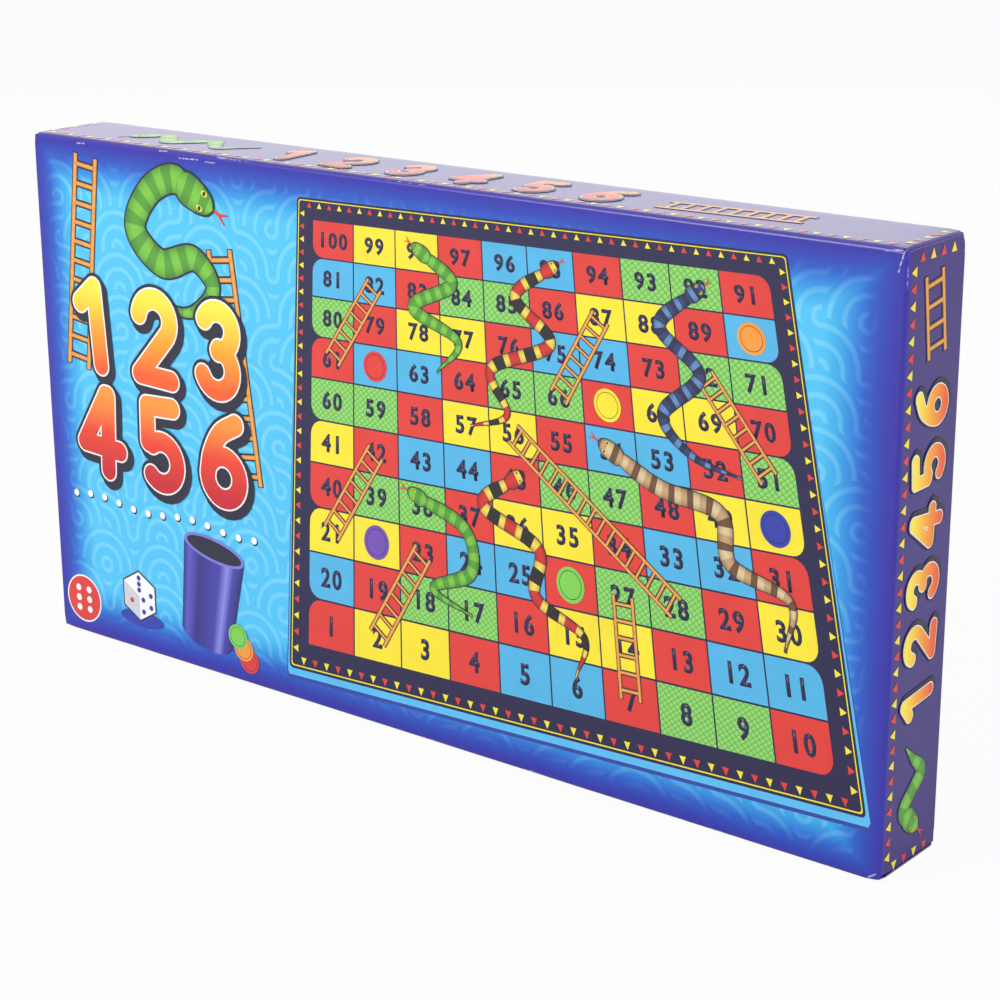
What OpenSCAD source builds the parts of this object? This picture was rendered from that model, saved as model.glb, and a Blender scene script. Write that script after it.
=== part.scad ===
// Boxed board game: a straight tuck-end folding carton that holds a folding board, a shaker cup,
// a die and six counters. Millimetres. The carton stands on its long bottom side, with X along its
// length, Y from front to back and Z up. The origin is the centre of its bottom face.

/* [Carton] */
// Length of the closed carton
carton_w = 400; // [320:1:480]
// Height of the carton as it stands
carton_h = 212; // [160:1:280]
// Depth of the carton from front to back
carton_d = 38; // [34:1:60]
// Thickness of the boxboard
board_t = 0.8; // [0.5:0.1:1.2]
// Outer radius of the sleeve's four long folds
fold_r = 1.8; // [1.4:0.1:3]
// Gap between a panel's end and the flap that is creased onto it
crease_gap = 0.05; // [0.02:0.01:0.2]
// How far the back panel's ends stop short of the end flaps' outer faces
back_inset = 0.4; // [0.2:0.1:2]
// Height of the seam strip that is glued inside the back panel
seam_h = 12; // [8:1:20]
// Gap along the carton between the seam strip and the tuck tongues
seam_room = 3; // [1:0.5:20]

/* [End flaps] */
// Gap between an end flap and the dust flaps behind it
flap_gap = 0.3; // [0.2:0.1:1]
// How far an end flap stops short of the top and bottom faces
flap_inset = 0.9; // [0.4:0.1:2]
// Length of a tuck tongue
tongue_l = 14; // [11:1:18]
// Gap between a tuck tongue's crease and the back panel
tongue_gap = 0.5; // [0.3:0.1:1]
// How far a tongue's shoulders are set in from the ends of its flap
tongue_shoulder = 6; // [2:1:20]
// Corner radius of a tongue's free edge
tongue_r = 10; // [4:1:10]
// Length of a dust flap
dust_l = 28; // [20:1:34]
// Length of a dust flap's straight neck
dust_neck = 3; // [2:0.5:6]
// Gap between a dust flap's neck and the front panel
dust_front_gap = 1; // [0.5:0.1:3]
// Gap between a dust flap's neck and the back panel, where the tuck tongue passes
dust_back_gap = 3; // [2.5:0.1:6]
// Inward run of a dust flap's front edge for each millimetre of its length
dust_front_taper = 0.55; // [0.5:0.01:0.6]
// Inward run of a dust flap's back edge for each millimetre of its length
dust_back_taper = 0.25; // [0.2:0.01:0.3]
// Corner radius of a dust flap's free edge
dust_r = 3; // [1:0.5:4]

/* [Folding board] */
// Thickness of one leaf
leaf_t = 2; // [1.5:0.1:3]
// Gap between the leaves' printed faces
leaf_gap = 0.4; // [0.2:0.1:1]
// Gap between the spine and the carton's top panel
board_headroom = 7.5; // [2:0.5:30]
// Gap between the board and the left tuck tongue
board_end_room = 1.2; // [0.5:0.1:10]
// Gap between the board and the seam strip
board_back_gap = 0.3; // [0.2:0.1:2]
// Thickness of the spine tape
tape_t = 0.3; // [0.2:0.05:0.6]
// Width of the tape on each leaf
tape_w = 14; // [8:1:25]
// Play between the leaves' edges and the round of the tape
tape_play = 0.2; // [0.1:0.05:0.5]
// Gap that lets the front leaf's tape turn under the round of the spine
tape_relief = 0.8; // [0.6:0.1:2]

/* [Shaker cup] */
// Height of the cup
cup_h = 58; // [45:1:80]
// Wall of the cup
cup_wall = 1.6; // [1.2:0.1:2.5]
// Floor of the cup
cup_floor = 2; // [1.5:0.1:4]
// How much the cup's radius narrows from its mouth to its foot
cup_draft = 1; // [0.5:0.1:2]
// Radius of the cup's rounded foot
cup_foot_r = 2.5; // [1.5:0.1:3]
// Depth of the hollow under the foot
cup_hollow = 0.6; // [0.2:0.1:1]
// Width of the ring that the cup stands on
cup_ring = 2; // [1.5:0.1:4]
// Gap between the cup's mouth and the seam strip, front and back alike
cup_room = 0.4; // [0.3:0.1:2]
// Gap along the carton between the cup and its neighbours
cup_bay_room = 18.5; // [16:0.5:40]

/* [Counters and die] */
// Diameter of a counter
counter_d = 18; // [15:0.5:20]
// Thickness of a counter
counter_t = 2.6; // [2:0.1:4]
// Width of a counter's raised rim
counter_rim = 3; // [2.6:0.1:4]
// Depth of the dish inside the rim
counter_dish = 0.5; // [0.2:0.1:0.8]
// Edge length of the die
die_s = 14; // [12.5:0.5:16]
// Diameter of the ball that rounds the die's corners, for each millimetre of its edge
die_ball = 1.41; // [1.38:0.01:1.5]
// Diameter of a pip
pip_d = 2.4; // [1.6:0.1:2.6]
// Depth of a pip
pip_depth = 0.5; // [0.3:0.1:0.8]

/* [Hidden] */
$fn = 64;
right = 1;
left = -1;

// Inside of the sleeve
inside_front = -carton_d / 2 + board_t;
inside_back = carton_d / 2 - board_t;
inside_floor = board_t;
inside_ceiling = carton_h - board_t;

// Creases lie in the middle of the board's thickness
crease_x = carton_w / 2 - board_t / 2;
crease_y = -carton_d / 2 + board_t / 2;
flap_reach = inside_back - tongue_gap - board_t / 2 - crease_y;
dust_x = crease_x - board_t - flap_gap;

// A tongue leans in from the back panel, so that its tip clears the panel as the flap swings
tongue_lean = 1.8 * asin(tongue_l / (2 * flap_reach));
tongue_tip_x = crease_x - tongue_l * cos(tongue_lean) - board_t / 2 * sin(tongue_lean);
tongue_h = carton_h - 2 * (flap_inset + tongue_shoulder);
flap_end = flap_reach - board_t / 2 * (1 + sin(tongue_lean)) / cos(tongue_lean) - crease_gap;

// Lengths of the sleeve's panels
front_l = 2 * (crease_x - board_t / 2 - crease_gap);
top_l = 2 * (dust_x - board_t / 2 - crease_gap);
back_l = carton_w - 2 * back_inset;
seam_l = 2 * (tongue_tip_x - seam_room);

// The cup stands in a bay between the board and the right tuck tongue
cup_r = carton_d / 2 - 2 * board_t - cup_room;
cup_foot = cup_r - cup_draft;
cup_x = tongue_tip_x - cup_bay_room - cup_r;

// The folded board stands spine up behind the cup's bay
spine_inner_r = leaf_gap / 2 + leaf_t + tape_play;
spine_outer_r = spine_inner_r + tape_t;
spine_y = inside_back - board_t - board_back_gap - spine_outer_r;
leaf_h = inside_ceiling - inside_floor - board_headroom - spine_outer_r;
spine_z = inside_floor + leaf_h;
board_left = -tongue_tip_x + board_end_room;
board_right = cup_x - cup_r - cup_bay_room;

// The counters are piled on the cup's floor, with the die on top
stack_z = inside_floor + cup_floor;
counter_order = ["red", "orange", "yellow", "green", "blue", "purple"];
die_z = stack_z + len(counter_order) * counter_t;

// Half of a round edge, as thick as the board, on the side of negative y
module half_round() {
    intersection() {
        circle(d = board_t);
        translate([-board_t, -board_t]) square([2 * board_t, board_t]);
    }
}

// A sleeve panel with half of the fold at each side, its outer face up at z = 0
module sleeve_panel(span, length) {
    rotate([90, 0, 90]) linear_extrude(length, center = true) {
        translate([-span / 2 + fold_r, -board_t]) square([span - 2 * fold_r, board_t]);
        for (side = [-1, 1]) translate([side * (span / 2 - fold_r), -fold_r]) intersection() {
            difference() {
                circle(fold_r);
                circle(fold_r - board_t);
            }
            polygon([[0, 0], [0, 2 * fold_r], [side * 2 * fold_r, 2 * fold_r]]);
        }
    }
}

module carton_front_panel() {
    color("deepskyblue") translate([0, -carton_d / 2, carton_h / 2]) rotate([90, 0, 0])
        sleeve_panel(carton_h, front_l);
}

module carton_back_panel() {
    color("royalblue") translate([0, carton_d / 2, carton_h / 2]) rotate([-90, 0, 0])
        sleeve_panel(carton_h, back_l);
}

module carton_top_panel() {
    color("mediumpurple") translate([0, 0, carton_h]) sleeve_panel(carton_d, top_l);
}

module carton_bottom_panel() {
    color("rebeccapurple") rotate([180, 0, 0]) sleeve_panel(carton_d, top_l);
}

// The strip starts above the fold's inner radius and has slanted ends
module carton_seam_strip() {
    color("lightgray") translate([0, inside_back, inside_floor + fold_r - board_t])
        rotate([90, 0, 0]) linear_extrude(board_t)
            polygon([
                [-seam_l / 2, 0], [seam_l / 2, 0],
                [seam_l / 2 - seam_h, seam_h], [-seam_l / 2 + seam_h, seam_h]
            ]);
}

// Places a right-hand piece on the right end, or mirrors it onto the left end
module at_end(side) {
    mirror([side == left ? 1 : 0, 0, 0]) children();
}

module end_flap(side) {
    color("slateblue") at_end(side) translate([crease_x, crease_y, flap_inset])
        linear_extrude(carton_h - 2 * flap_inset) {
            half_round();
            translate([-board_t / 2, 0]) square([board_t, flap_end]);
        }
}

module tuck_tongue(side) {
    color("lavender") at_end(side)
        translate([crease_x, crease_y + flap_reach, flap_inset + tongue_shoulder])
            rotate([0, 0, 180 + tongue_lean]) {
                rotate([0, 0, -90]) linear_extrude(tongue_h) half_round();
                rotate([90, 0, 0]) linear_extrude(board_t, center = true) intersection() {
                    square([tongue_l, tongue_h]);
                    union() {
                        square([tongue_l - tongue_r, tongue_h]);
                        translate([0, tongue_r]) square([tongue_l, tongue_h - 2 * tongue_r]);
                        for (z = [tongue_r, tongue_h - tongue_r]) translate([tongue_l - tongue_r, z])
                            circle(tongue_r);
                    }
                }
            }
}

// A dust flap that hangs from a crease along Y at the origin
module dust_flap_shape() {
    front = inside_front + dust_front_gap;
    back = inside_back - dust_back_gap;
    taper_l = dust_l - dust_neck;
    translate([0, front, 0]) rotate([-90, 0, 0]) linear_extrude(back - front) half_round();
    rotate([90, 0, 90]) linear_extrude(board_t, center = true) intersection() {
        offset(dust_r) offset(delta = -dust_r) polygon([
            [front, 2 * dust_r], [front, -dust_neck],
            [front + taper_l * dust_front_taper, -dust_l], [back - taper_l * dust_back_taper, -dust_l],
            [back, -dust_neck], [back, 2 * dust_r]
        ]);
        translate([-carton_d, -2 * dust_l]) square([2 * carton_d, 2 * dust_l]);
    }
}

module dust_flap_top(side) {
    color("plum") at_end(side) translate([dust_x, 0, carton_h - board_t / 2]) dust_flap_shape();
}

module dust_flap_bottom(side) {
    color("thistle") at_end(side) translate([dust_x, 0, board_t / 2]) mirror([0, 0, 1]) dust_flap_shape();
}

// A plate along the whole board, from y and z measured at the spine's axis
module along_board(y, z, thickness, height) {
    translate([board_left, spine_y + y, spine_z + z]) cube([board_right - board_left, thickness, height]);
}

module board_back_leaf() {
    color("steelblue") along_board(leaf_gap / 2, -leaf_h, leaf_t, leaf_h);
}

module board_front_leaf() {
    color("cornflowerblue") along_board(-leaf_gap / 2 - leaf_t, -leaf_h, leaf_t, leaf_h);
}

// The tape goes down the back leaf and round the fold over both leaves' edges
module board_spine_tape() {
    leaf_face = leaf_gap / 2 + leaf_t;
    color("navy") {
        along_board(leaf_face, -tape_w, spine_outer_r - leaf_face, tape_w);
        translate([board_left, spine_y, spine_z]) rotate([90, 0, 90])
            linear_extrude(board_right - board_left) difference() {
                circle(spine_outer_r);
                circle(spine_inner_r);
                translate([-2 * spine_outer_r, -4 * spine_outer_r]) square(4 * spine_outer_r);
            }
    }
}

module board_front_tape() {
    color("midnightblue") along_board(-spine_outer_r, -tape_w, tape_play + tape_t, tape_w - tape_relief);
}

// Points of a rounded corner of radius r about a centre, from one angle to another
function corner(centre, r, from, to, steps = 8) =
    [for (i = [0 : steps]) let (a = from + (to - from) * i / steps) centre + r * [cos(a), sin(a)]];

module shaker_cup() {
    lip = cup_wall / 2;
    inner_foot = cup_foot - cup_wall;
    color("slateblue") translate([cup_x, 0, inside_floor]) rotate_extrude() difference() {
        polygon(concat(
            [[0, 0]],
            corner([cup_foot - cup_foot_r, cup_foot_r], cup_foot_r, -90, 0),
            corner([cup_r - lip, cup_h - lip], lip, 0, 180),
            corner([inner_foot - cup_foot_r, cup_floor + cup_foot_r], cup_foot_r, 0, -90),
            [[0, cup_floor]]
        ));
        square([cup_foot - cup_foot_r - cup_ring, cup_hollow]);
    }
}

module counter(level) {
    r = counter_d / 2;
    dish_r = r - counter_rim;
    translate([cup_x, 0, stack_z + level * counter_t]) rotate_extrude() difference() {
        square([r, counter_t]);
        square([dish_r, counter_dish]);
        translate([0, counter_t - counter_dish]) square([dish_r, counter_dish]);
    }
}

// Pips of a face, as places on a 3 by 3 grid
function pips(n) = concat(
    n % 2 == 1 ? [[0, 0]] : [],
    n > 1 ? [[-1, -1], [1, 1]] : [],
    n > 3 ? [[-1, 1], [1, -1]] : [],
    n == 6 ? [[-1, 0], [1, 0]] : []
);

// Turns that bring each face of the die to the top, from one to six
face_turns = [[0, 0, 0], [90, 0, 0], [0, 90, 0], [0, -90, 0], [-90, 0, 0], [180, 0, 0]];

module die() {
    pip_ball = (pow(pip_d / 2, 2) + pow(pip_depth, 2)) / (2 * pip_depth);
    pip_pitch = die_s / 4;
    color("white") translate([cup_x, 0, die_z + die_s / 2]) difference() {
        intersection() {
            cube(die_s, center = true);
            sphere(d = die_s * die_ball);
        }
        for (n = [1 : 6]) rotate(face_turns[n - 1]) for (p = pips(n))
            translate([p.x * pip_pitch, p.y * pip_pitch, die_s / 2 - pip_depth + pip_ball])
                sphere(pip_ball);
    }
}

carton_front_panel();
carton_top_panel();
carton_back_panel();
carton_bottom_panel();
carton_seam_strip();
end_flap(right);  // right_end_flap
tuck_tongue(right);  // right_tuck_tongue
dust_flap_top(right);  // right_dust_flap_top
dust_flap_bottom(right);  // right_dust_flap_bottom
end_flap(left);  // left_end_flap
tuck_tongue(left);  // left_tuck_tongue
dust_flap_top(left);  // left_dust_flap_top
dust_flap_bottom(left);  // left_dust_flap_bottom
board_back_leaf();
board_front_leaf();
board_spine_tape();
board_front_tape();
shaker_cup();
die();
for (level = [0 : len(counter_order) - 1])
    color(counter_order[level]) counter(level);
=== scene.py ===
# %% [markdown]
# # A boxed board game, dressed for the camera
# On the shelf this object is a thin carton of printed, laminated board with a tuck flap at each end, and
# inside it lie a folding board, a shaker cup, six counters and a die. The CAD frame already holds every
# solid, its place and its motion. This lesson adds what a camera sees of them: ink, gloss, folds and wear.

# %% Load the frame and measure it
import math

import bmesh
import bpy
import numpy as np
from mathutils import Matrix, Vector, noise


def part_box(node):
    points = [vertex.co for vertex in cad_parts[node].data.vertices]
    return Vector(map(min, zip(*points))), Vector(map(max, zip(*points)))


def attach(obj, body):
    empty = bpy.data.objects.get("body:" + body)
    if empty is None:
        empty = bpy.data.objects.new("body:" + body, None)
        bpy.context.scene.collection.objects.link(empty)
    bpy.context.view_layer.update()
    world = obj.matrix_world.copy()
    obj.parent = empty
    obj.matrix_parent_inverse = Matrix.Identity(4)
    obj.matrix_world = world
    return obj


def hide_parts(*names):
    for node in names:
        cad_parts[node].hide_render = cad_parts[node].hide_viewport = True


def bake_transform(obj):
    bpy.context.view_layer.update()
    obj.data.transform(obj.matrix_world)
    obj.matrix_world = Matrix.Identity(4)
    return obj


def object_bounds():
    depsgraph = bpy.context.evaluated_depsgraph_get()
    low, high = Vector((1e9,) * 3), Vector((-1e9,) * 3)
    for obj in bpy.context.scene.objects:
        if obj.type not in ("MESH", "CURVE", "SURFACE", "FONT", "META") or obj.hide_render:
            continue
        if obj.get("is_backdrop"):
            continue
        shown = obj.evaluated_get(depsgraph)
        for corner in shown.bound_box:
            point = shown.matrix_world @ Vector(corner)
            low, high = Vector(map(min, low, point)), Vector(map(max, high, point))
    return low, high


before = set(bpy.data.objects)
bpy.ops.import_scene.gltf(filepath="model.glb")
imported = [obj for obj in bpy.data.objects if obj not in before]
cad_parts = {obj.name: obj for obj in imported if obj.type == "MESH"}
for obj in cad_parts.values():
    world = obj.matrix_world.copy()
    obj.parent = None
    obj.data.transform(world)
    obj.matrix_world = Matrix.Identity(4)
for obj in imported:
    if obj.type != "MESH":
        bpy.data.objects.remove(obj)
cad_low, cad_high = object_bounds()
MM = 0.001
LENGTH, DEPTH, HEIGHT = [round((high - low) / MM, 3) for low, high in zip(cad_low, cad_high)]
print(f"carton {LENGTH:.0f} x {DEPTH:.0f} x {HEIGHT:.0f} mm, {len(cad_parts)} CAD nodes")

# %% [markdown]
# ## The camera
# The photograph looks at the carton from the right and a little above, with a long lens. A camera could be
# aimed with a Track To constraint, but its roll and framing are known here, so the matrix is written from
# three turned axes. Its place follows from where the middle of the carton has to fall in the picture.

# %% Camera
scene = bpy.context.scene
scene.view_settings.view_transform = "Standard"
AZIMUTH, ELEVATION, ROLL = [math.radians(turn) for turn in (38.756, 17.295, -0.318)]
ASIDE, LOWER, DISTANCE = 0.0200, 0.01555, 0.8779
LENS, SENSOR = 84.94, 36
back = Vector((math.sin(AZIMUTH) * math.cos(ELEVATION), -math.cos(AZIMUTH) * math.cos(ELEVATION),
               math.sin(ELEVATION)))
level = Vector((math.cos(AZIMUTH), math.sin(AZIMUTH), 0))
upright = back.cross(level)
right = level * math.cos(ROLL) + upright * math.sin(ROLL)
up = upright * math.cos(ROLL) - level * math.sin(ROLL)
middle = Vector((0, 0, HEIGHT / 2)) * MM
eye = middle + right * ASIDE - up * LOWER + back * DISTANCE

camera = bpy.data.objects.new("Camera", bpy.data.cameras.new("Camera"))
camera.data.lens = LENS
camera.data.sensor_width = SENSOR
camera.matrix_world = Matrix.Translation(eye) @ Matrix((right, up, back)).transposed().to_4x4()
scene.collection.objects.link(camera)
scene.camera = camera
print("camera", [round(c, 3) for c in eye], "m, lens", LENS, "mm")

# %% [markdown]
# ## Shader maths as plain Python
# A material's pattern is arithmetic on the point being shaded. Adding Math nodes one by one hides that
# arithmetic, so a small class wraps a socket and lets an expression such as `1 - mask` add the node itself.
# Every other node comes from one method, which sets the node's options first and its sockets afterwards.

# %% The Wire class
class Wire:
    """A shader socket that takes arithmetic, and adds any other node to its tree."""

    def __init__(self, tree, socket=None):
        self.tree = tree
        self.socket = socket

    def node(self, kind, settings=None, inputs=None, output=0):
        made = self.tree.nodes.new(kind)
        for name, value in (settings or {}).items():
            if name == "stops":
                ramp = made.color_ramp.elements
                while len(ramp) < len(value):
                    ramp.new(1.0)
                for stop, (position, colour) in zip(ramp, value):
                    stop.position = position
                    stop.color = colour
            elif name == "interpolation":
                made.color_ramp.interpolation = value
            else:
                setattr(made, name, value)
        for name, value in (inputs or {}).items():
            if isinstance(value, Wire):
                self.tree.links.new(value.socket, made.inputs[name])
            else:
                made.inputs[name].default_value = value
        return Wire(self.tree, made.outputs[output])

    def math(self, operation, first, second=0.0):
        return self.node("ShaderNodeMath", {"operation": operation}, {0: first, 1: second})

    def __add__(self, other):
        return self.math("ADD", self, other)

    def __sub__(self, other):
        return self.math("SUBTRACT", self, other)

    def __mul__(self, other):
        return self.math("MULTIPLY", self, other)

    def __truediv__(self, other):
        return self.math("DIVIDE", self, other)

    def __rsub__(self, other):
        return self.math("SUBTRACT", other, self)

    def __abs__(self):
        return self.math("ABSOLUTE", self)

    __radd__ = __add__
    __rmul__ = __mul__

    def least(self, other):
        return self.math("MINIMUM", self, other)

    def most(self, other):
        return self.math("MAXIMUM", self, other)

    def clamped(self):
        return self.least(1.0).most(0.0)

    def floor(self):
        return self.math("FLOOR", self)

    def above(self, limit):
        return self.math("GREATER_THAN", self, limit)

    def mix(self, none, full):
        return self.node("ShaderNodeMix", {"data_type": "RGBA"}, {0: self, 6: none, 7: full}, 2)

    def ramp(self, stops, interpolation="LINEAR"):
        return self.node("ShaderNodeValToRGB", {"stops": stops, "interpolation": interpolation}, {0: self})


print("a Wire can", [name for name in vars(Wire) if not name.startswith("__")])

# %% Colours and finishes
def tint(red, green, blue):
    """An 8-bit screen colour as the linear colour that Blender's sockets take."""
    linear = [c / 12.92 if c <= 0.04045 else ((c + 0.055) / 1.055) ** 2.4
              for c in (red / 255, green / 255, blue / 255)]
    return (*linear, 1.0)


def new_finish(name):
    """A new material, its node tree and the point being shaded, in metres in the frame."""
    material = bpy.data.materials.new(name)
    material.use_nodes = True
    graph = Wire(material.node_tree)
    return material, graph, graph.node("ShaderNodeTexCoord", {}, {}, "Object")


def settle(material, **sockets):
    """Numbers go straight on the shader's sockets, wires are linked to them."""
    shader = material.node_tree.nodes["Principled BSDF"]
    for name, value in sockets.items():
        socket = shader.inputs[name.replace("_", " ")]
        if isinstance(value, Wire):
            material.node_tree.links.new(value.socket, socket)
        else:
            socket.default_value = value
    return material


print("tint(255, 128, 0) is", [round(c, 3) for c in tint(255, 128, 0)])

# %% Patterns that many finishes share
def along_axis(graph, point, axis):
    return graph.node("ShaderNodeSeparateXYZ", {}, {0: point}, axis)


def speckle(graph, point, scale, detail, **more):
    """Soft random spots, smaller ones at a higher scale."""
    return graph.node("ShaderNodeTexNoise", {}, {"Vector": point, "Scale": scale, "Detail": detail, **more})


def relief(graph, height):
    """A height in metres as the normal of the uneven surface that it makes."""
    return graph.node("ShaderNodeBump", {}, {"Height": height, "Distance": 1.0})


print("patterns: along_axis, speckle and relief")

# %% [markdown]
# ## Floor and studio light
# The photograph is a product shot on white, lit by large soft sources. A dome of even light does most of it,
# and one wide lamp on the left gives the front more light than the end has. The background turns white
# for camera and mirror rays only, so it adds no light to the carton, and the floor still takes its shadow.

# %% Floor
FLOOR_HALF, FLOOR_DROP, FLOOR_GLOW = 6.0, 0.0001, 0.94


def mesh_object(name, bm, *materials):
    mesh = bpy.data.meshes.new(name)
    bm.to_mesh(mesh)
    bm.free()
    piece = bpy.data.objects.new(name, mesh)
    scene.collection.objects.link(piece)
    for material in materials:
        mesh.materials.append(material)
    return piece


floor_paint, graph, point = new_finish("floor_white")
speck = speckle(graph, point, 40.0, 2.0)
settle(floor_paint, Base_Color=speck.mix(tint(236, 236, 236), tint(242, 242, 242)), Roughness=0.9)
camera_ray = graph.node("ShaderNodeLightPath", {}, {}, "Is Camera Ray")
glow = graph.node("ShaderNodeEmission", {}, {"Color": (1, 1, 1, 1), "Strength": 1.0})
shaded = Wire(graph.tree, graph.tree.nodes["Principled BSDF"].outputs[0])
lifted = graph.node("ShaderNodeMixShader", {}, {0: camera_ray * FLOOR_GLOW, 1: shaded, 2: glow})
graph.tree.links.new(lifted.socket, graph.tree.nodes["Material Output"].inputs[0])

bm = bmesh.new()
bmesh.ops.create_grid(bm, x_segments=1, y_segments=1, size=FLOOR_HALF,
                      matrix=Matrix.Translation((0, 0, -FLOOR_DROP)))
mesh_object("Floor", bm, floor_paint)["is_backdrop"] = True
print("floor", 2 * FLOOR_HALF, "m wide")

# %% Studio light
DOME = 0.5
world = bpy.data.worlds.new("Studio")
scene.world = world
world.use_nodes = True
graph = Wire(world.node_tree)
dome = Wire(graph.tree, graph.tree.nodes["Background"].outputs[0])
graph.tree.nodes["Background"].inputs["Color"].default_value = (1, 1, 1, 1)
graph.tree.nodes["Background"].inputs["Strength"].default_value = DOME
white = graph.node("ShaderNodeBackground", {}, {"Color": (1, 1, 1, 1), "Strength": 1.0})
seen = graph.node("ShaderNodeLightPath", {}, {}, "Is Camera Ray")
for ray in ("Is Glossy Ray", "Is Transmission Ray"):
    seen = seen.most(graph.node("ShaderNodeLightPath", {}, {}, ray))
sky = graph.node("ShaderNodeMixShader", {}, {0: seen, 1: dome, 2: white})
graph.tree.links.new(sky.socket, graph.tree.nodes["World Output"].inputs[0])
print("dome of strength", DOME)

# %% Lamps
def soft_lamp(name, place, size, watts):
    lamp = bpy.data.lights.new(name, "AREA")
    lamp.size = size
    lamp.energy = watts
    holder = bpy.data.objects.new(name, lamp)
    turned = (Vector(place) - middle).to_track_quat("Z", "Y").to_matrix().to_4x4()
    holder.matrix_world = Matrix.Translation(place) @ turned
    scene.collection.objects.link(holder)


soft_lamp("Key", (-0.75, -1.55, 1.05), 0.9, 21)
soft_lamp("Side", (1.9, 0.15, 0.7), 0.9, 12)
soft_lamp("Top", (-0.2, -0.3, 1.7), 1.0, 2.5)
soft_lamp("Rear", (-1.05, 1.3, 0.75), 1.1, 2.4)

# %% [markdown]
# ## Where the print goes
# A printer lays out each face of a carton flat, in millimetres from its lower left corner. Working the same
# way keeps the drawing code readable: one matrix per face carries a flat layout onto the standing carton,
# and the third coordinate is the lift off the board, so later inks lie on earlier ones.

# %% Face layouts
def face_layout(corner, along, upward):
    """Millimetres along, up and out from a face's corner, taken to metres in the frame."""
    turn = Matrix((along, upward, along.cross(upward))).transposed().to_4x4()
    return Matrix.Translation(corner * MM) @ turn @ Matrix.Scale(MM, 4)


X, Y, Z = Vector((1, 0, 0)), Vector((0, 1, 0)), Vector((0, 0, 1))
HALF_L, HALF_D = LENGTH / 2, DEPTH / 2
FACES = {
    "front": face_layout(Vector((-HALF_L, -HALF_D, 0)), X, Z),
    "back": face_layout(Vector((HALF_L, HALF_D, 0)), -X, Z),
    "top": face_layout(Vector((-HALF_L, -HALF_D, HEIGHT)), X, Y),
    "bottom": face_layout(Vector((-HALF_L, HALF_D, 0)), X, -Y),
    "right": face_layout(Vector((HALF_L, -HALF_D, 0)), Y, Z),
    "left": face_layout(Vector((-HALF_L, HALF_D, 0)), -Y, Z),
}
for name, layout in FACES.items():
    print(name, "faces", [round(c) for c in layout.to_3x3().col[2] / MM])

# %% [markdown]
# ## Laminated board
# The carton is white-lined board under a clear film: glossy, very slightly wavy, and rubbed pale where it is
# folded. An image texture would carry all this at once, but the nodes make it at any size. The wear is read
# from the distance to the nearest fold, so that it stays on the folds whichever piece they belong to.

# %% Waves and rubbed folds
WAVE, PEEL = 0.00022, 0.0000012
RUB_REACH, RUB_WIDTH = 0.007, 0.0005


def board_wave(graph, point):
    """Slow waves of the board and the film's fine orange peel, as a normal."""
    slow = speckle(graph, point, 16.0, 1.0)
    fine = speckle(graph, point, 420.0, 1.0)
    return relief(graph, slow * WAVE + fine * PEEL)


def fold_rub(graph, point):
    """How far the film is rubbed off: in broken streaks on the folds, more of them in patches."""
    x, y, z = [along_axis(graph, point, axis) for axis in "XYZ"]
    side = HALF_L * MM - abs(x)
    face = HALF_D * MM - abs(y)
    edge = (HEIGHT / 2 * MM) - abs(z - HEIGHT / 2 * MM)
    fold = side.least(face).most(side.most(face).least(edge))
    patch = speckle(graph, point, 24.0, 1.0)
    grain = speckle(graph, point, 320.0, 5.0)
    reach = (patch - 0.52).most(0.0) * RUB_REACH
    return ((reach - fold) / RUB_WIDTH + (grain - 0.5) * 5.0 - 0.7).clamped()


print("rub is", RUB_WIDTH / MM, "mm wide on the folds")

# %% Scuffs and the glossy finish
SCUFFS = [((26, 209.7), (31, 210.1)), ((73, 211.0), (78, 211.4)), ((84, 209.3), (95, 209.6)),
          ((98, 209.2), (104, 209.2)), ((398.2, 211), (396.4, 204)), ((391.5, 210.4), (398, 211.2)),
          ((398.6, 3.5), (395, 1))]
FILM_ROUGH = 0.26


def scuffed(graph, point):
    """Short rubbed lines on the front, each from one place to another in the layout's millimetres."""
    x, y, z = [along_axis(graph, point, axis) / MM for axis in "XYZ"]
    grain = speckle(graph, point, 700.0, 2.0)
    worn = y * 0.0
    for start, end in SCUFFS:
        run, rise = end[0] - start[0], end[1] - start[1]
        length = math.hypot(run, rise)
        u, v = (x + (HALF_L - start[0])) / length, (z - start[1]) / length
        along = u * run + v * rise
        off = abs(u * rise - v * run)
        worn = worn.most(((0.5 - off).least(along).least(length - along) * 3.0).least(1.0))
    return ((worn + (grain - 0.5) * 3.0 - 0.35).clamped() * worn * (1 - y.above(0.0))).clamped()


def gloss_finish(material, graph, point, colour, marked):
    rub = fold_rub(graph, point)
    if marked:
        rub = rub.most(scuffed(graph, point))
    worn = (rub * 0.6).mix(colour, tint(226, 222, 232))
    return settle(material, Base_Color=worn, Roughness=FILM_ROUGH + rub * 0.45,
                  Normal=board_wave(graph, point))


print(len(SCUFFS), "scuffs on the front")

# %% [markdown]
# ## Ground print
# The ground colour runs from violet at the edges of a face to bright blue, and a common pattern of nested
# arcs on square tiles crosses it. Modelled lines would be thousands of thin shapes. A few lines of shader
# maths draw the same rings: the distance to a corner of the tile, cut into equal steps.

# %% Nested arcs
ARC_TILE, ARC_RINGS = 17.0, 3.0


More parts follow.
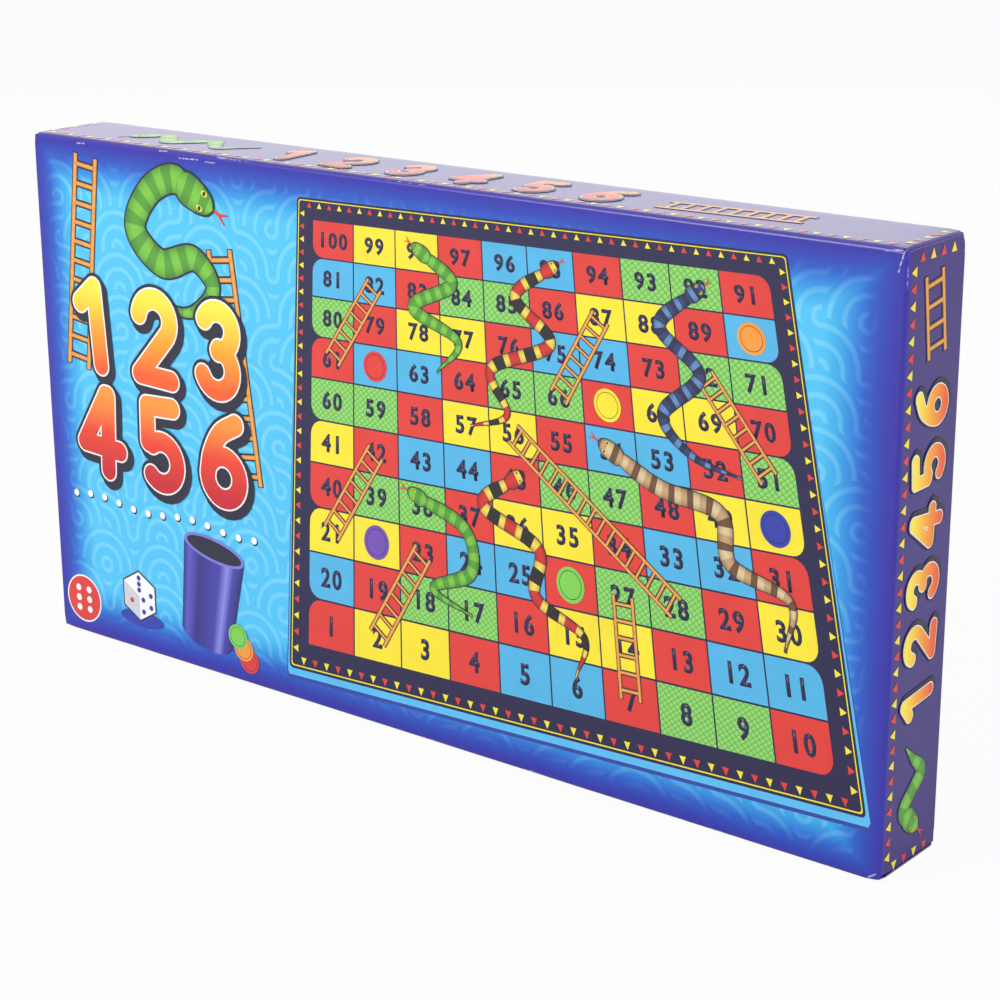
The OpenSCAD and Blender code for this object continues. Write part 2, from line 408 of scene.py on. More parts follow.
def nested_arcs(graph, across, upward):
    """Three quarter rings round a corner of each square tile, the corner picked by chance."""
    column = (across / ARC_TILE).floor()
    row = (upward / ARC_TILE).floor()
    pair = graph.node("ShaderNodeCombineXYZ", {}, {0: column, 1: row})
    chance = graph.node("ShaderNodeTexWhiteNoise", {"noise_dimensions": "2D"}, {"Vector": pair}, "Value")
    flip = chance.above(0.5)
    u = across / ARC_TILE - column
    v = upward / ARC_TILE - row
    u = u + flip * (1 - 2 * u)
    near = graph.math("SQRT", u * u + v * v)
    far = graph.math("SQRT", (1 - u) * (1 - u) + (1 - v) * (1 - v))
    inside = 1 - near.above(1.0)
    ring = (far + inside * (near - far)) * ARC_RINGS
    off = abs(ring - ring.floor() - 0.5)
    return ((0.22 - off) / 0.12).clamped()


print("arcs on tiles of", ARC_TILE, "mm")

# %% Ground print of each face
EDGE_REACH, CLOUD_REACH = 28.0, 7.0
BLUE_STOPS = [(0.0, tint(48, 36, 158)), (0.11, tint(44, 46, 166)), (0.22, tint(32, 66, 178)),
              (0.34, tint(28, 86, 194)), (0.45, tint(32, 124, 214)), (0.6, tint(46, 162, 226)),
              (0.8, tint(74, 192, 240))]
VIOLET_STOPS = [(0.0, tint(70, 52, 144)), (0.25, tint(77, 57, 145)), (1.0, tint(82, 61, 146))]
DUSK_STOPS = [(0.0, tint(52, 34, 118)), (0.25, tint(56, 37, 121)), (1.0, tint(59, 40, 123))]


def ground_print(name, across, upward, width, height, stops, line_strength):
    """A ground that changes from a face's edge inwards, with pale arcs over it."""
    material, graph, point = new_finish(name)
    u = along_axis(graph, point, across) / MM
    v = along_axis(graph, point, upward) / MM
    from_edge = (width / 2 + u).least((width / 2 - u) * 0.8)
    from_edge = from_edge.least(height / 2 - abs(v - (HEIGHT / 2 if upward == "Z" else 0.0)))
    cloud = speckle(graph, point, 9.0, 2.0)
    depth = ((from_edge + (cloud - 0.5) * CLOUD_REACH) / EDGE_REACH).clamped()
    ground = depth.ramp(stops)
    if not line_strength:
        return gloss_finish(material, graph, point, ground, False)
    lines = nested_arcs(graph, u, v) * ((depth - 0.25) * 1.8).clamped() * line_strength
    return gloss_finish(material, graph, point, lines.mix(ground, tint(150, 226, 252)), True)


front_ground = ground_print("front_print", "X", "Z", LENGTH, HEIGHT, BLUE_STOPS, 0.36)
top_ground = ground_print("side_print", "X", "Y", LENGTH, DEPTH, VIOLET_STOPS, 0)
end_ground = ground_print("end_print", "Y", "Z", DEPTH, HEIGHT, DUSK_STOPS, 0)
print("grounds", front_ground.name, top_ground.name, end_ground.name)

# %% Bare board
def pulp_finish(name, dark, light, fleck_colour):
    """Unprinted board: fibres of two tones, darker flecks and a felted surface."""
    material, graph, point = new_finish(name)
    fibre = speckle(graph, point, 700.0, 4.0)
    fleck = speckle(graph, point, 220.0, 2.0)
    pulp = ((fleck - 0.62) * 6.0).clamped().mix(fibre.mix(dark, light), fleck_colour)
    return settle(material, Base_Color=pulp, Roughness=0.85, Normal=relief(graph, fibre * 0.00003))


grey_board = pulp_finish("bare_board", tint(186, 180, 168), tint(214, 209, 199), tint(158, 150, 140))
# The cut-edge finish also serves as a painted highlight on the bulge of the bottom dust creases.
cut_edge_and_painted_highlight = pulp_finish("cut_edge_and_painted_highlight", tint(92, 80, 138), tint(138, 128, 168), tint(70, 58, 122))
print("unprinted", grey_board.name, cut_edge_and_painted_highlight.name)

# %% [markdown]
# ## The folded panels
# Each panel of the carton is one flat sheet whose long edges curve over into the next panel. A box with
# bevelled edges would show the same outline, but it has no inside. So a grid is laid flat, its long edges
# are spun through half a fold each, and the sheet then gets the thickness of the board: print outside, bare
# board within. Handling has softened the corners, so one function of the place dents all sheets alike.

# %% Softened corners
FOLD_REACH, FOLD_DENT, DENT_SCALE = 3.0, 0.16, 0.06
# Each corner, with the reach and the depth of its dent.
DINGS = [((HALF_L, -HALF_D, HEIGHT), 9.0, 0.9), ((HALF_L, -HALF_D, 0), 6.0, 0.8),
         ((-HALF_L, -HALF_D, HEIGHT), 6.0, 0.5), ((-HALF_L, -HALF_D, 0), 5.0, 0.5),
         ((HALF_L, HALF_D, HEIGHT), 6.0, 0.6), ((-HALF_L, HALF_D, HEIGHT), 5.0, 0.5)]


def soften(bm):
    """Moves a placed sheet's points inwards near the carton's corners and along its folds."""
    heart = Vector((0, 0, HEIGHT / 2))
    for vert in bm.verts:
        place = vert.co / MM
        inward = Vector((-math.copysign(1, place.x), -math.copysign(1, place.y),
                         -math.copysign(1, place.z - heart.z)))
        push = 0.0
        for corner, reach, depth in DINGS:
            near = 1 - min((place - Vector(corner)).length / reach, 1)
            push += depth * near * near * (3 - 2 * near)
        folds = sorted((HALF_L - abs(place.x), HALF_D - abs(place.y), HEIGHT / 2 - abs(place.z - heart.z)))
        along = 1 - min(folds[1] / FOLD_REACH, 1)
        push += FOLD_DENT * along * (0.5 + 0.5 * noise.noise(place * DENT_SCALE))
        vert.co += inward.normalized() * push * MM


print(len(DINGS), "softened corners")

# %% Thickness of the board
flap_low, flap_high = [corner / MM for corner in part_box("right_end_flap")]
BOARD = round(flap_high.x - flap_low.x, 3)


def thicken(bm):
    """Gives a sheet its board: print in slot 0 outside, bare board in slot 1, cut edges in slot 2."""
    bm.normal_update()
    outside, outer_points = set(bm.faces), set(bm.verts)
    bmesh.ops.solidify(bm, geom=list(bm.faces), thickness=BOARD * MM)
    for face in bm.faces:
        shared = sum(vert in outer_points for vert in face.verts)
        wall = 0 < shared < len(face.verts)
        face.smooth = not wall
        face.material_index = 0 if face in outside else 2 if wall else 1
    for edge in bm.edges:
        edge.smooth = all(face.material_index != 2 for face in edge.link_faces)


print("board", BOARD, "mm thick")

# %% Folded sheets
STEP, FOLD, FLAP_CORNER = 4.0, 1.8, 2.6


def boundary(bm, axis, value):
    """Edges that lie on one line of a flat sheet."""
    return [edge for edge in bm.edges if all(abs(v.co[axis] - value) < 0.001 for v in edge.verts)]


def panel_sheet(face, left, width, low, high, folds, rounded=None):
    """A flat grid on one face of the carton, with its long edges spun over where it has folds."""
    bm = bmesh.new()
    tall = high - low
    centre = (left + width / 2, (low + high) / 2, 0)
    place = Matrix.Translation(centre) @ Matrix.Diagonal((width, tall, 1, 1))
    bmesh.ops.create_grid(bm, x_segments=round(width / STEP), y_segments=round(tall / STEP), size=0.5,
                          matrix=place)
    for line, turn in ((low, 1), (high, -1)) if folds else ():
        bmesh.ops.spin(bm, geom=boundary(bm, 1, line), cent=(0, line, -FOLD), axis=(turn, 0, 0),
                       angle=math.radians(45), steps=5)
    if rounded is not None:
        upper = [v for v in bm.verts if len(v.link_faces) == 1 and v.co.y > tall / 2]
        free = [v for v in upper if abs(v.co.x - rounded) < 0.001]
        bmesh.ops.bevel(bm, geom=free, affect="VERTICES", offset=FLAP_CORNER, segments=5, profile=0.5,
                        material=-1)
    bmesh.ops.recalc_face_normals(bm, faces=bm.faces)
    if sum(face.normal.z * face.calc_area() for face in bm.faces) < 0:
        bmesh.ops.reverse_faces(bm, faces=bm.faces)
    bm.transform(FACES[face])
    soften(bm)
    thicken(bm)
    return bm


print("sheets in steps of", STEP, "mm, folded round", FOLD, "mm")

# %% Four panels
FRONT_INSET, BACK_INSET, SIDE_INSET = 1.6, 1.4, 2.3
# Node, slot, print and how far each end of the sheet stops short of the carton's end.
SHEETS = {
    "front": ("carton_front_panel", "front_print", front_ground, FRONT_INSET),
    "back": ("carton_back_panel", "front_print", front_ground, BACK_INSET),
    "top": ("carton_top_panel", "side_print", top_ground, SIDE_INSET),
    "bottom": ("carton_bottom_panel", "side_print", top_ground, SIDE_INSET),
}
for face, (node, slot, ground, inset) in SHEETS.items():
    tall = HEIGHT if face in ("front", "back") else DEPTH
    bm = panel_sheet(face, inset, LENGTH - 2 * inset, FOLD, tall - FOLD, True)
    sheet = mesh_object(face + "_sheet", bm, ground, grey_board, cut_edge_and_painted_highlight)
    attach(sheet, "carton")
    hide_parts(node)
    print(sheet.name, len(sheet.data.polygons), "faces")

# %% [markdown]
# ## Flaps and their creases
# Every flap is one board with the panel it hangs on: when it opens, that edge bends and doesn't part. So the
# rounded strip at each crease is a piece of its own. A grid is laid along a profile of the bend, and its two
# ends may run aslant to meet a tapered flap.

# %% Bent strips
# Painted shade: a near-black matte finish for the narrow gap under an end flap's foot, where little light
# gets in. A faint speckle varies its tone.
painted_gap_shade, graph, point = new_finish("gap_painted_shade")
dust = speckle(graph, point, 300.0, 2.0)
settle(painted_gap_shade, Base_Color=dust.mix(tint(10, 7, 26), tint(20, 14, 44)), Roughness=0.95,
       Specular_IOR_Level=0.0)


def bend(centre, radius, start, end):
    """Points on a bend's outer face, in its own plane, between two directions in degrees."""
    turns = np.radians(np.linspace(start, end, 9))
    return [(centre[0] + radius * math.cos(turn), centre[1] + radius * math.sin(turn)) for turn in turns]


def bent_sheet(profile, lows, highs, place, outward):
    """A strip of board whose outer face follows a profile, and whose two ends may run aslant."""
    bm = bmesh.new()
    last = len(profile) - 1
    bmesh.ops.create_grid(bm, x_segments=last, y_segments=round((highs[0] - lows[0]) / STEP), size=0.5)
    for vert in bm.verts:
        k = round((vert.co.x + 0.5) * last)
        low, high = [ends[0] + (ends[1] - ends[0]) * k / last for ends in (lows, highs)]
        vert.co = place(*profile[k], low + (vert.co.y + 0.5) * (high - low)) * MM
    bmesh.ops.recalc_face_normals(bm, faces=bm.faces)
    if sum(face.normal.dot(outward) for face in bm.faces) < 0:
        bmesh.ops.reverse_faces(bm, faces=bm.faces)
    soften(bm)
    thicken(bm)
    return bm


def crease(name, bm, ground, end):
    strip = mesh_object(name, bm, ground, grey_board, cut_edge_and_painted_highlight, painted_gap_shade)
    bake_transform(strip)
    print(name, len(strip.data.polygons), "faces")


print("finish of the gaps", painted_gap_shade.name)

# %% End flaps
CREASE, SHORT, LEAD, NOTCH = 1.4, 1.4, 0.6, 0.5
CREASE_Z = 100
SIDES = (("right", 1), ("left", -1))
for side, sign in SIDES:
    low, high = [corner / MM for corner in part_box(side + "_end_flap")]
    low.z += SHORT
    reach = high.y + HALF_D
    begin = CREASE + LEAD
    left = begin if sign > 0 else DEPTH - reach
    free_edge = reach if sign > 0 else DEPTH - reach
    bm = panel_sheet(side, left, reach - begin, low.z, high.z, False, free_edge)
    sheet = mesh_object(side + "_flap_sheet", bm, end_ground, grey_board, cut_edge_and_painted_highlight)
    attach(sheet, side + "_flap")
    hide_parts(side + "_end_flap")

    heart = (HALF_L - CREASE, CREASE - HALF_D)
    profile = [(HALF_L - FRONT_INSET, -HALF_D), *bend(heart, CREASE, -90, 0), (HALF_L, begin - HALF_D)]
    bm = bent_sheet(profile, (NOTCH, low.z), (HEIGHT - NOTCH, high.z),
                    lambda a, b, c: Vector((sign * a, b, c)), Vector((sign, -1, 0)))
    crease(side + "_crease", bm, front_ground,
           Vector((sign * HALF_L, heart[1], CREASE_Z)))
    print(side, "flap", round(reach, 1), "mm deep, crease radius", CREASE, "mm")

# %% [markdown]
# ## Tongues and dust flaps
# These keep their CAD shape and are only cut back to where their bent strips begin. They are printed on one
# side like the rest of the carton, and the ink runs on past the crease. A shader could tell the sides apart,
# but faces can simply take one finish or the other by the way they look: ink outside, bare board within.

# %% Flaps cut back to their strips
INK_ROUGH = 0.27
WELD = 0.000001
flap_print, graph, point = new_finish("flap_print")
tone = speckle(graph, point, 700.0, 4.0)
settle(flap_print, Base_Color=tone.mix(tint(58, 40, 114), tint(66, 46, 120)), Roughness=INK_ROUGH,
       Normal=board_wave(graph, point))


def cut_back(node, body, point, keep, facing):
    """A copy of a CAD flap without the part that a bent strip stands for, inked on its outer side."""
    bm = bmesh.new()
    bm.from_mesh(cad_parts[node].data)
    bmesh.ops.remove_doubles(bm, verts=bm.verts, dist=WELD)
    whole = [*bm.verts, *bm.edges, *bm.faces]
    cut = bmesh.ops.bisect_plane(bm, geom=whole, plane_co=point * MM, plane_no=keep, clear_inner=True)
    rim = [part for part in cut["geom_cut"] if isinstance(part, bmesh.types.BMEdge)]
    bmesh.ops.holes_fill(bm, edges=rim)
    bmesh.ops.dissolve_degenerate(bm, dist=WELD, edges=bm.edges)
    bmesh.ops.recalc_face_normals(bm, faces=bm.faces)
    bm.normal_update()
    for face in bm.faces:
        face.material_index = 1 if face.normal.dot(Vector(facing)) < -0.5 else 0
    soften(bm)
    sheet = mesh_object(node + "_sheet", bm, flap_print, grey_board)
    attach(sheet, body)
    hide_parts(node)
    print(sheet.name, len(sheet.data.polygons), "faces")


print("finish of the tucked flaps", flap_print.name)

# %% Dust flaps
DUST_R, DUST_LEAD = 1.0, 0.2
BULGE_R, GROOVE, GROOVE_TOP = 0.85, [(1.7, 1.75), (1.85, 2.3), (1.4, 3.2)], 4.0
PAINTED_HIGHLIGHT_FOOT, PAINTED_SHADE_FOOT = 0.3, 1.12
TAPER, OVERLAP = 0.9, 1.7


def dust_flap(side, sign, where, down):
    """A dust flap and its strip, which has a bulge and a groove at the carton's foot. On the bottom strip
    the bulge has a painted highlight and the groove has painted shade.
    """
    node, body = f"{side}_dust_flap_{where}", f"{side}_dust_{where}"
    low, high = [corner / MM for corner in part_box(node)]
    face, panel = max(abs(low.x), abs(high.x)), HEIGHT if down < 0 else 0
    heart = (face - DUST_R, panel + down * DUST_R)
    profile = [(HALF_L - SIDE_INSET, panel), *bend(heart, DUST_R, -90 * down, 0),
               (face, heart[1] + DUST_LEAD * down)]
    if where == "bottom":
        bulge = (HALF_L - SIDE_INSET + BULGE_R, BULGE_R)
        profile = [(HALF_L - SIDE_INSET, 0), *bend(bulge, BULGE_R, -90, 20),
                   *[(HALF_L - inset, height) for inset, height in GROOVE], (face, GROOVE_TOP)]
    bm = bent_sheet(profile, (low.y, low.y - TAPER), (high.y + OVERLAP, high.y + OVERLAP),
                    lambda a, b, c: Vector((sign * a, c, b)), Vector((sign, 0, -down)))
    # Printed faces of the bottom strip above the foot get painted light: the bulge takes the paler cut-edge
    # finish as a painted highlight, and the groove under the flap's edge takes the near-black painted shade.
    for part in bm.faces:
        height = part.calc_center_median().z / MM
        if where == "bottom" and part.material_index == 0 and height > PAINTED_HIGHLIGHT_FOOT:
            part.material_index = 3 if height > PAINTED_SHADE_FOOT else 2
    crease(f"{side}_dust_crease_{where}", bm, top_ground,
           Vector((sign * face, 0, profile[-1][1])))
    cut_back(node, body, Vector((0, 0, profile[-1][1])), (0, 0, down), (sign, 0, 0))


print("dust flaps bend round", DUST_R, "mm")

# %% Tuck tongues
TONGUE_R, TONGUE_LEAN = 0.8, math.radians(20.24)


def tuck_tongue(side, sign):
    """A tongue and the strip that turns it in behind the back panel."""
    node = side + "_tuck_tongue"
    flap_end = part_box(side + "_end_flap")[1].y / MM
    root = np.array((HALF_L - BOARD / 2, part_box(node)[1].y / MM - BOARD / 2))
    outer = np.array((-math.sin(TONGUE_LEAN), math.cos(TONGUE_LEAN)))
    middle_x = HALF_L - TONGUE_R
    drop = (BOARD / 2 - TONGUE_R - (middle_x - root[0]) * outer[0]) / outer[1]
    heart = (middle_x, root[1] + drop)
    profile = [(HALF_L, flap_end), *bend(heart, TONGUE_R, 0, 90 + math.degrees(TONGUE_LEAN))]
    low, high = [corner.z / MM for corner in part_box(node)]
    bm = bent_sheet(profile, (low, low), (high, high), lambda a, b, c: Vector((sign * a, b, c)),
                    Vector((sign, 1, 0)))
    end_x, end_y = profile[-1]
    crease(side + "_tongue_crease", bm, end_ground,
           Vector((sign * end_x, end_y, CREASE_Z)))
    cut_back(node, side + "_tongue", Vector((sign * end_x, end_y, 0)),
             (-sign * math.cos(TONGUE_LEAN), -math.sin(TONGUE_LEAN), 0), (sign * outer[0], outer[1], 0))


for side, sign in SIDES:
    dust_flap(side, sign, "top", -1)
    dust_flap(side, sign, "bottom", 1)
    tuck_tongue(side, sign)

# %% [markdown]
# ## Inks
# A press lays each colour a little thinner or thicker from place to place, so even a flat ink is mottled.
# Some inks need more: wood grain, a snake's rings, a cup's round wall. A texture could be painted for each.
# Here a strip remembers how far along and across each of its points lies, and its ink works from that.

# %% Flat inks
def ink(name, colour):
    """One printed colour, which the press lays a little thinner or thicker from place to place."""
    material, graph, point = new_finish("ink_" + name)
    mottle = speckle(graph, point, 80.0, 4.0)
    thick, thin = [(*[min(c * share, 1.0) for c in colour[:3]], 1.0) for share in (0.9, 1.1)]
    return settle(material, Base_Color=mottle.mix(thick, thin), Roughness=INK_ROUGH,
                  Normal=board_wave(graph, point))


FLAT_INKS = {
    "navy": (26, 22, 68), "deep": (24, 22, 50), "white": (246, 246, 244), "yellow": (250, 226, 46),
    "red": (222, 56, 48), "sky": (78, 178, 226), "azure": (88, 188, 240), "dusk": (44, 66, 160),
    "paleblue": (146, 210, 238), "orange": (246, 152, 54), "lime": (124, 204, 80), "violet": (112, 74, 176),
    "royal": (44, 58, 168), "cuplight": (120, 122, 214), "grey": (206, 208, 216),
}
INKS = {name: ink(name, tint(*colour)) for name, colour in FLAT_INKS.items()}
print(len(INKS), "flat inks")

# %% Shaded inks
def shaded_ink(name, paint):
    """An ink whose colour is worked out from the place, or from the strip's own run and rise."""
    material, graph, point = new_finish("ink_" + name)
    run = graph.node("ShaderNodeAttribute", {"attribute_name": "run"}, {}, "Fac")
    rise = graph.node("ShaderNodeAttribute", {"attribute_name": "rise"}, {}, "Fac")
    INKS[name] = settle(material, Base_Color=paint(graph, point, run, rise), Roughness=INK_ROUGH,
                        Normal=board_wave(graph, point))


def hatched_green(graph, point, run, rise):
    """Two sets of fine slanting lines on a paler green."""
    x, z = [along_axis(graph, point, axis) / MM for axis in "XZ"]
    down, rising = (x + z) / 2.6, (x - z * 1.2) / 2.6
    line = abs(down - down.floor() - 0.5).least(abs(rising - rising.floor() - 0.5))
    return ((0.13 - line) / 0.05).clamped().mix(tint(146, 212, 106), tint(96, 176, 76))


def tumbler(graph, point, run, rise):
    """A round wall: a broad light on one side, a thin one near the other, dark at both edges."""
    return rise.ramp([(0.0, tint(34, 30, 96)), (0.16, tint(66, 60, 168)), (0.26, tint(134, 136, 220)),
                      (0.38, tint(66, 60, 168)), (0.72, tint(44, 38, 128)), (0.9, tint(88, 84, 190)),
                      (1.0, tint(36, 32, 104))])


def sunrise(low, mid, high):
    """Three colours from the foot of a digit to its top."""
    def paint(graph, point, run, rise):
        return rise.ramp([(0.1, tint(*low)), (0.5, tint(*mid)), (0.9, tint(*high))])
    return paint


shaded_ink("green", hatched_green)
shaded_ink("cup_shade", tumbler)
shaded_ink("gold", sunrise((240, 92, 36), (252, 166, 36), (255, 232, 70)))
shaded_ink("ember", sunrise((196, 24, 40), (232, 62, 36), (250, 150, 52)))
print(len(INKS), "inks so far")

# %% Wood and snake skins
def side_shade(rise):
    """None on the middle of a strip, full at its two sides."""
    off = abs(rise * 2 - 1)
    return (off * off).clamped()


def timber(graph, point, run, rise):
    streak = graph.node("ShaderNodeTexNoise", {"noise_dimensions": "1D"},
                        {"W": run, "Scale": 0.4, "Detail": 2.0})
    wood = streak.mix(tint(226, 140, 52), tint(250, 186, 92))
    return (side_shade(rise) * 0.7).mix(wood, tint(150, 78, 24))


def banded(colours, pitch, edge):
    """Rings round a body, one colour after another, darker at its sides."""
    def paint(graph, point, run, rise):
        turn = run / pitch
        stops = [(k / len(colours), tint(*colour)) for k, colour in enumerate(colours)]
        rings = (turn - turn.floor()).ramp(stops, "CONSTANT")
        return (side_shade(rise) * 0.6).mix(rings, tint(*edge))
    return paint


RED, CREAM, BLACK = (206, 44, 38), (244, 214, 84), (28, 24, 26)
# Colours of the rings, their pitch and the colour of the sides.
SKINS = {
    "grass_snake": ([(120, 196, 62), (84, 158, 48)], 9.0, (36, 84, 30)),
    "coral_snake": ([RED, RED, CREAM, BLACK, BLACK, CREAM], 26.0, (40, 22, 20)),
    "river_snake": ([(40, 58, 112), (96, 138, 190), (28, 36, 74)], 11.0, (16, 20, 44)),
    "sand_snake": ([(196, 160, 116), (110, 76, 50), (222, 196, 150)], 13.0, (66, 44, 30)),
}
shaded_ink("timber", timber)
for name, (colours, pitch, edge) in SKINS.items():
    shaded_ink(name, banded(colours, pitch, edge))
print(len(INKS), "inks in all")

# %% [markdown]
# ## Ink as thin films
# A printed picture could be baked into one texture, but flat shapes keep a sharp edge at any distance. So
# each motif is cut from tiles, discs and strips in millimetres, in numbered layers like the passes of a
# press. A strip starts as a straight grid and is bent along its path. At the end every shape is drawn up
# into a film.

# %% Flat shapes
def placed(centre, turn, wide, tall):
    """Stretches a unit shape, turns it and moves it to its centre."""
    turned = Matrix.Rotation(math.radians(turn), 4, "Z")
    return Matrix.Translation((*centre, 0)) @ turned @ Matrix.Diagonal((wide, tall, 1, 1))


class Shapes:
    """A flat drawing in millimetres: shapes in inks, each on a numbered layer."""

    def __init__(self):
        self.bm = bmesh.new()
        self.run = self.bm.verts.layers.float.new("run")
        self.rise = self.bm.verts.layers.float.new("rise")
        self.inks = []

    def stamp(self, verts, name, layer):
        if name not in self.inks:
            self.inks.append(name)
        for vert in verts:
            vert.co.z = layer
        for face in {face for vert in verts for face in vert.link_faces}:
            face.material_index = self.inks.index(name)
            if face.calc_area() > 0 and face.normal.z < 0:
                face.normal_flip()

    def patch(self, corners, name, layer):
        verts = [self.bm.verts.new((x, y, 0)) for x, y in corners]
        self.bm.faces.new(verts).normal_update()
        self.stamp(verts, name, layer)

    def tile(self, centre, width, height, radius, name, layer):
        verts = bmesh.ops.create_grid(self.bm, x_segments=1, y_segments=1, size=0.5,
                                      matrix=placed(centre, 0, width, height))["verts"]
        if radius:
            verts = bmesh.ops.bevel(self.bm, geom=verts, affect="VERTICES", offset=radius, segments=5,
                                    profile=0.5, material=-1)["verts"]
        self.stamp(verts, name, layer)

    def disc(self, centre, wide, tall, name, layer, turn=0.0, segments=32):
        verts = bmesh.ops.create_circle(self.bm, cap_ends=True, segments=segments, radius=1.0,
                                        matrix=placed(centre, turn, wide, tall))["verts"]
        self.bm.normal_update()
        self.stamp(verts, name, layer)


print("shapes: patch, tile and disc")

# %% Lines along a path
def distances(path):
    """How far along a path each of its points lies."""
    return np.concatenate([[0], np.cumsum(np.linalg.norm(np.diff(path, axis=0), axis=1))])


class Lines(Shapes):
    """A drawing that can also bend strips along a path."""

    def strip(self, path, widths, name, layer, climb=0.0, cells=4):
        """A straight grid bent along a path, and lifted a little towards its end."""
        path = np.asarray(path, float)
        widths = np.broadcast_to(np.asarray(widths, float), len(path))
        ahead = np.gradient(path, axis=0)
        ahead /= np.linalg.norm(ahead, axis=1)[:, None]
        travelled = distances(path)
        last = len(path) - 1
        verts = bmesh.ops.create_grid(self.bm, x_segments=last, y_segments=cells, size=1.0)["verts"]
        stations = [(round((vert.co.x + 1) / 2 * last), vert.co.y) for vert in verts]
        self.stamp(verts, name, layer)
        for vert, (k, across) in zip(verts, stations):
            shift = across * widths[k] / 2
            vert.co = (path[k, 0] - ahead[k, 1] * shift, path[k, 1] + ahead[k, 0] * shift,
                       layer + climb * k / last)
            vert[self.run] = travelled[k]
            vert[self.rise] = (across + 1) / 2
        return verts

    def stroke(self, path, width, name, layer):
        """A strip of one width with round ends, like a line drawn with a brush."""
        path = np.asarray(path, float)
        travelled = distances(path)
        count = max(2, int(travelled[-1] / width * 6))
        even = np.linspace(0, travelled[-1], count)
        line = np.stack([np.interp(even, travelled, path[:, k]) for k in (0, 1)], axis=1)
        swing = np.radians(np.linspace(8, 86, 7))
        ends = [path[0] - path[1], path[-1] - path[-2]]
        first, last = [end / np.linalg.norm(end) * width / 2 for end in ends]
        head = line[0] + np.outer(np.sin(swing), first)
        tail = line[-1] + np.outer(np.sin(swing), last)
        profile = np.concatenate([np.cos(swing)[::-1], np.ones(count), np.cos(swing)])
        return self.strip(np.vstack([head[::-1], line, tail]), width * profile, name, layer)


print("lines: strip and stroke")

# %% Smooth paths
def smooth_path(points, steps=14):
    """A Catmull-Rom curve through a few points."""
    points = np.asarray(points, float)
    held = np.vstack([2 * points[0] - points[1], points, 2 * points[-1] - points[-2]])
    t = np.linspace(0, 1, steps, endpoint=False)[:, None]
    spans = []
    for a, b, c, d in zip(held, held[1:], held[2:], held[3:]):
        bow, twist = 2 * a - 5 * b + 4 * c - d, 3 * b - a - 3 * c + d
        spans.append(0.5 * (2 * b + (c - a) * t + bow * t**2 + twist * t**3))
    return np.vstack([*spans, points[-1:]])


print("a path through 3 points gets", len(smooth_path([(0, 0), (1, 1), (2, 0)])), "points")

# %% Numbers as flat meshes
NUMBER_WEIGHT, NUMBER_SPACING = 0.035, 0.62
GLYPHS = {}


def glyph(character):
    """A digit of Blender's own font as a flat mesh one unit high, thickened a little."""
    if character not in GLYPHS:
        curve = bpy.data.curves.new("digit", "FONT")
        curve.body = character
        curve.align_x = "CENTER"
        curve.offset = NUMBER_WEIGHT
        curve.resolution_u = 3
        holder = bpy.data.objects.new("digit", curve)
        scene.collection.objects.link(holder)
        view = bpy.context.evaluated_depsgraph_get()
        mesh = bpy.data.meshes.new_from_object(holder.evaluated_get(view))
        bpy.data.objects.remove(holder)
        bm = bmesh.new()
        bm.from_mesh(mesh)
        bmesh.ops.remove_doubles(bm, verts=bm.verts, dist=0.001)
        bm.transform(Matrix.Translation((0, -0.35, 0)))
        bm.to_mesh(mesh)
        bm.free()
        GLYPHS[character] = mesh
    return GLYPHS[character]


print("the digit 8 has", len(glyph("8").vertices), "points")

# %% Layouts that can be printed
FILM, INK_SHARE = 0.05, 0.8


class Layout(Lines):
    """A drawing with numbers, which can be warped and printed on a body."""

    def digits(self, text, centre, size, name, layer):
        """Numbers in Blender's own font, small enough that a few facets make each curve."""
        middle = (len(text) - 1) / 2
        for k, character in enumerate(text):
            drawn = set(self.bm.verts)
            self.bm.from_mesh(glyph(character))
            verts = [vert for vert in self.bm.verts if vert not in drawn]
            place = (centre[0] + (k - middle) * NUMBER_SPACING * size, centre[1], 0)
            matrix = Matrix.Translation(place) @ Matrix.Scale(size, 4)
            bmesh.ops.transform(self.bm, matrix=matrix, verts=verts)
            self.stamp(verts, name, layer)

    def warp(self, mapping):
        for vert in self.bm.verts:
            vert.co.x, vert.co.y = mapping(vert.co.x, vert.co.y)

    def print_on(self, name, placing, body, slot="front_print", film=FILM):
        """Draws every flat shape up into a thin film and carries the drawing to its face."""
        raised = bmesh.ops.extrude_face_region(self.bm, geom=list(self.bm.faces), use_keep_orig=True)
        tops = [part for part in raised["geom"] if isinstance(part, bmesh.types.BMVert)]
        bmesh.ops.translate(self.bm, vec=(0, 0, INK_SHARE), verts=tops)
        self.bm.transform(placing @ Matrix.Diagonal((1, 1, film, 1)))
        piece = mesh_object(name, self.bm, *[INKS[colour] for colour in self.inks])
        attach(piece, body)
        print(name, len(piece.data.polygons), "faces in", len(self.inks), "inks")


print("a film on the carton is", round(FILM * INK_SHARE, 3), "mm thick")

# %% [markdown]
# ## The motifs
# Ladders, snakes, numbers, counters, a cup and a die are what any such game has, so they are drawn from
# scratch here. A ladder is two rails and a row of rungs over a darker copy of itself. A snake is one strip
# that swells behind its head and thins to its tail, over a dark rim, so that it reads as round.

# %% Ladders
LADDER_RIM, LADDER_REACH = 0.9, 0.35


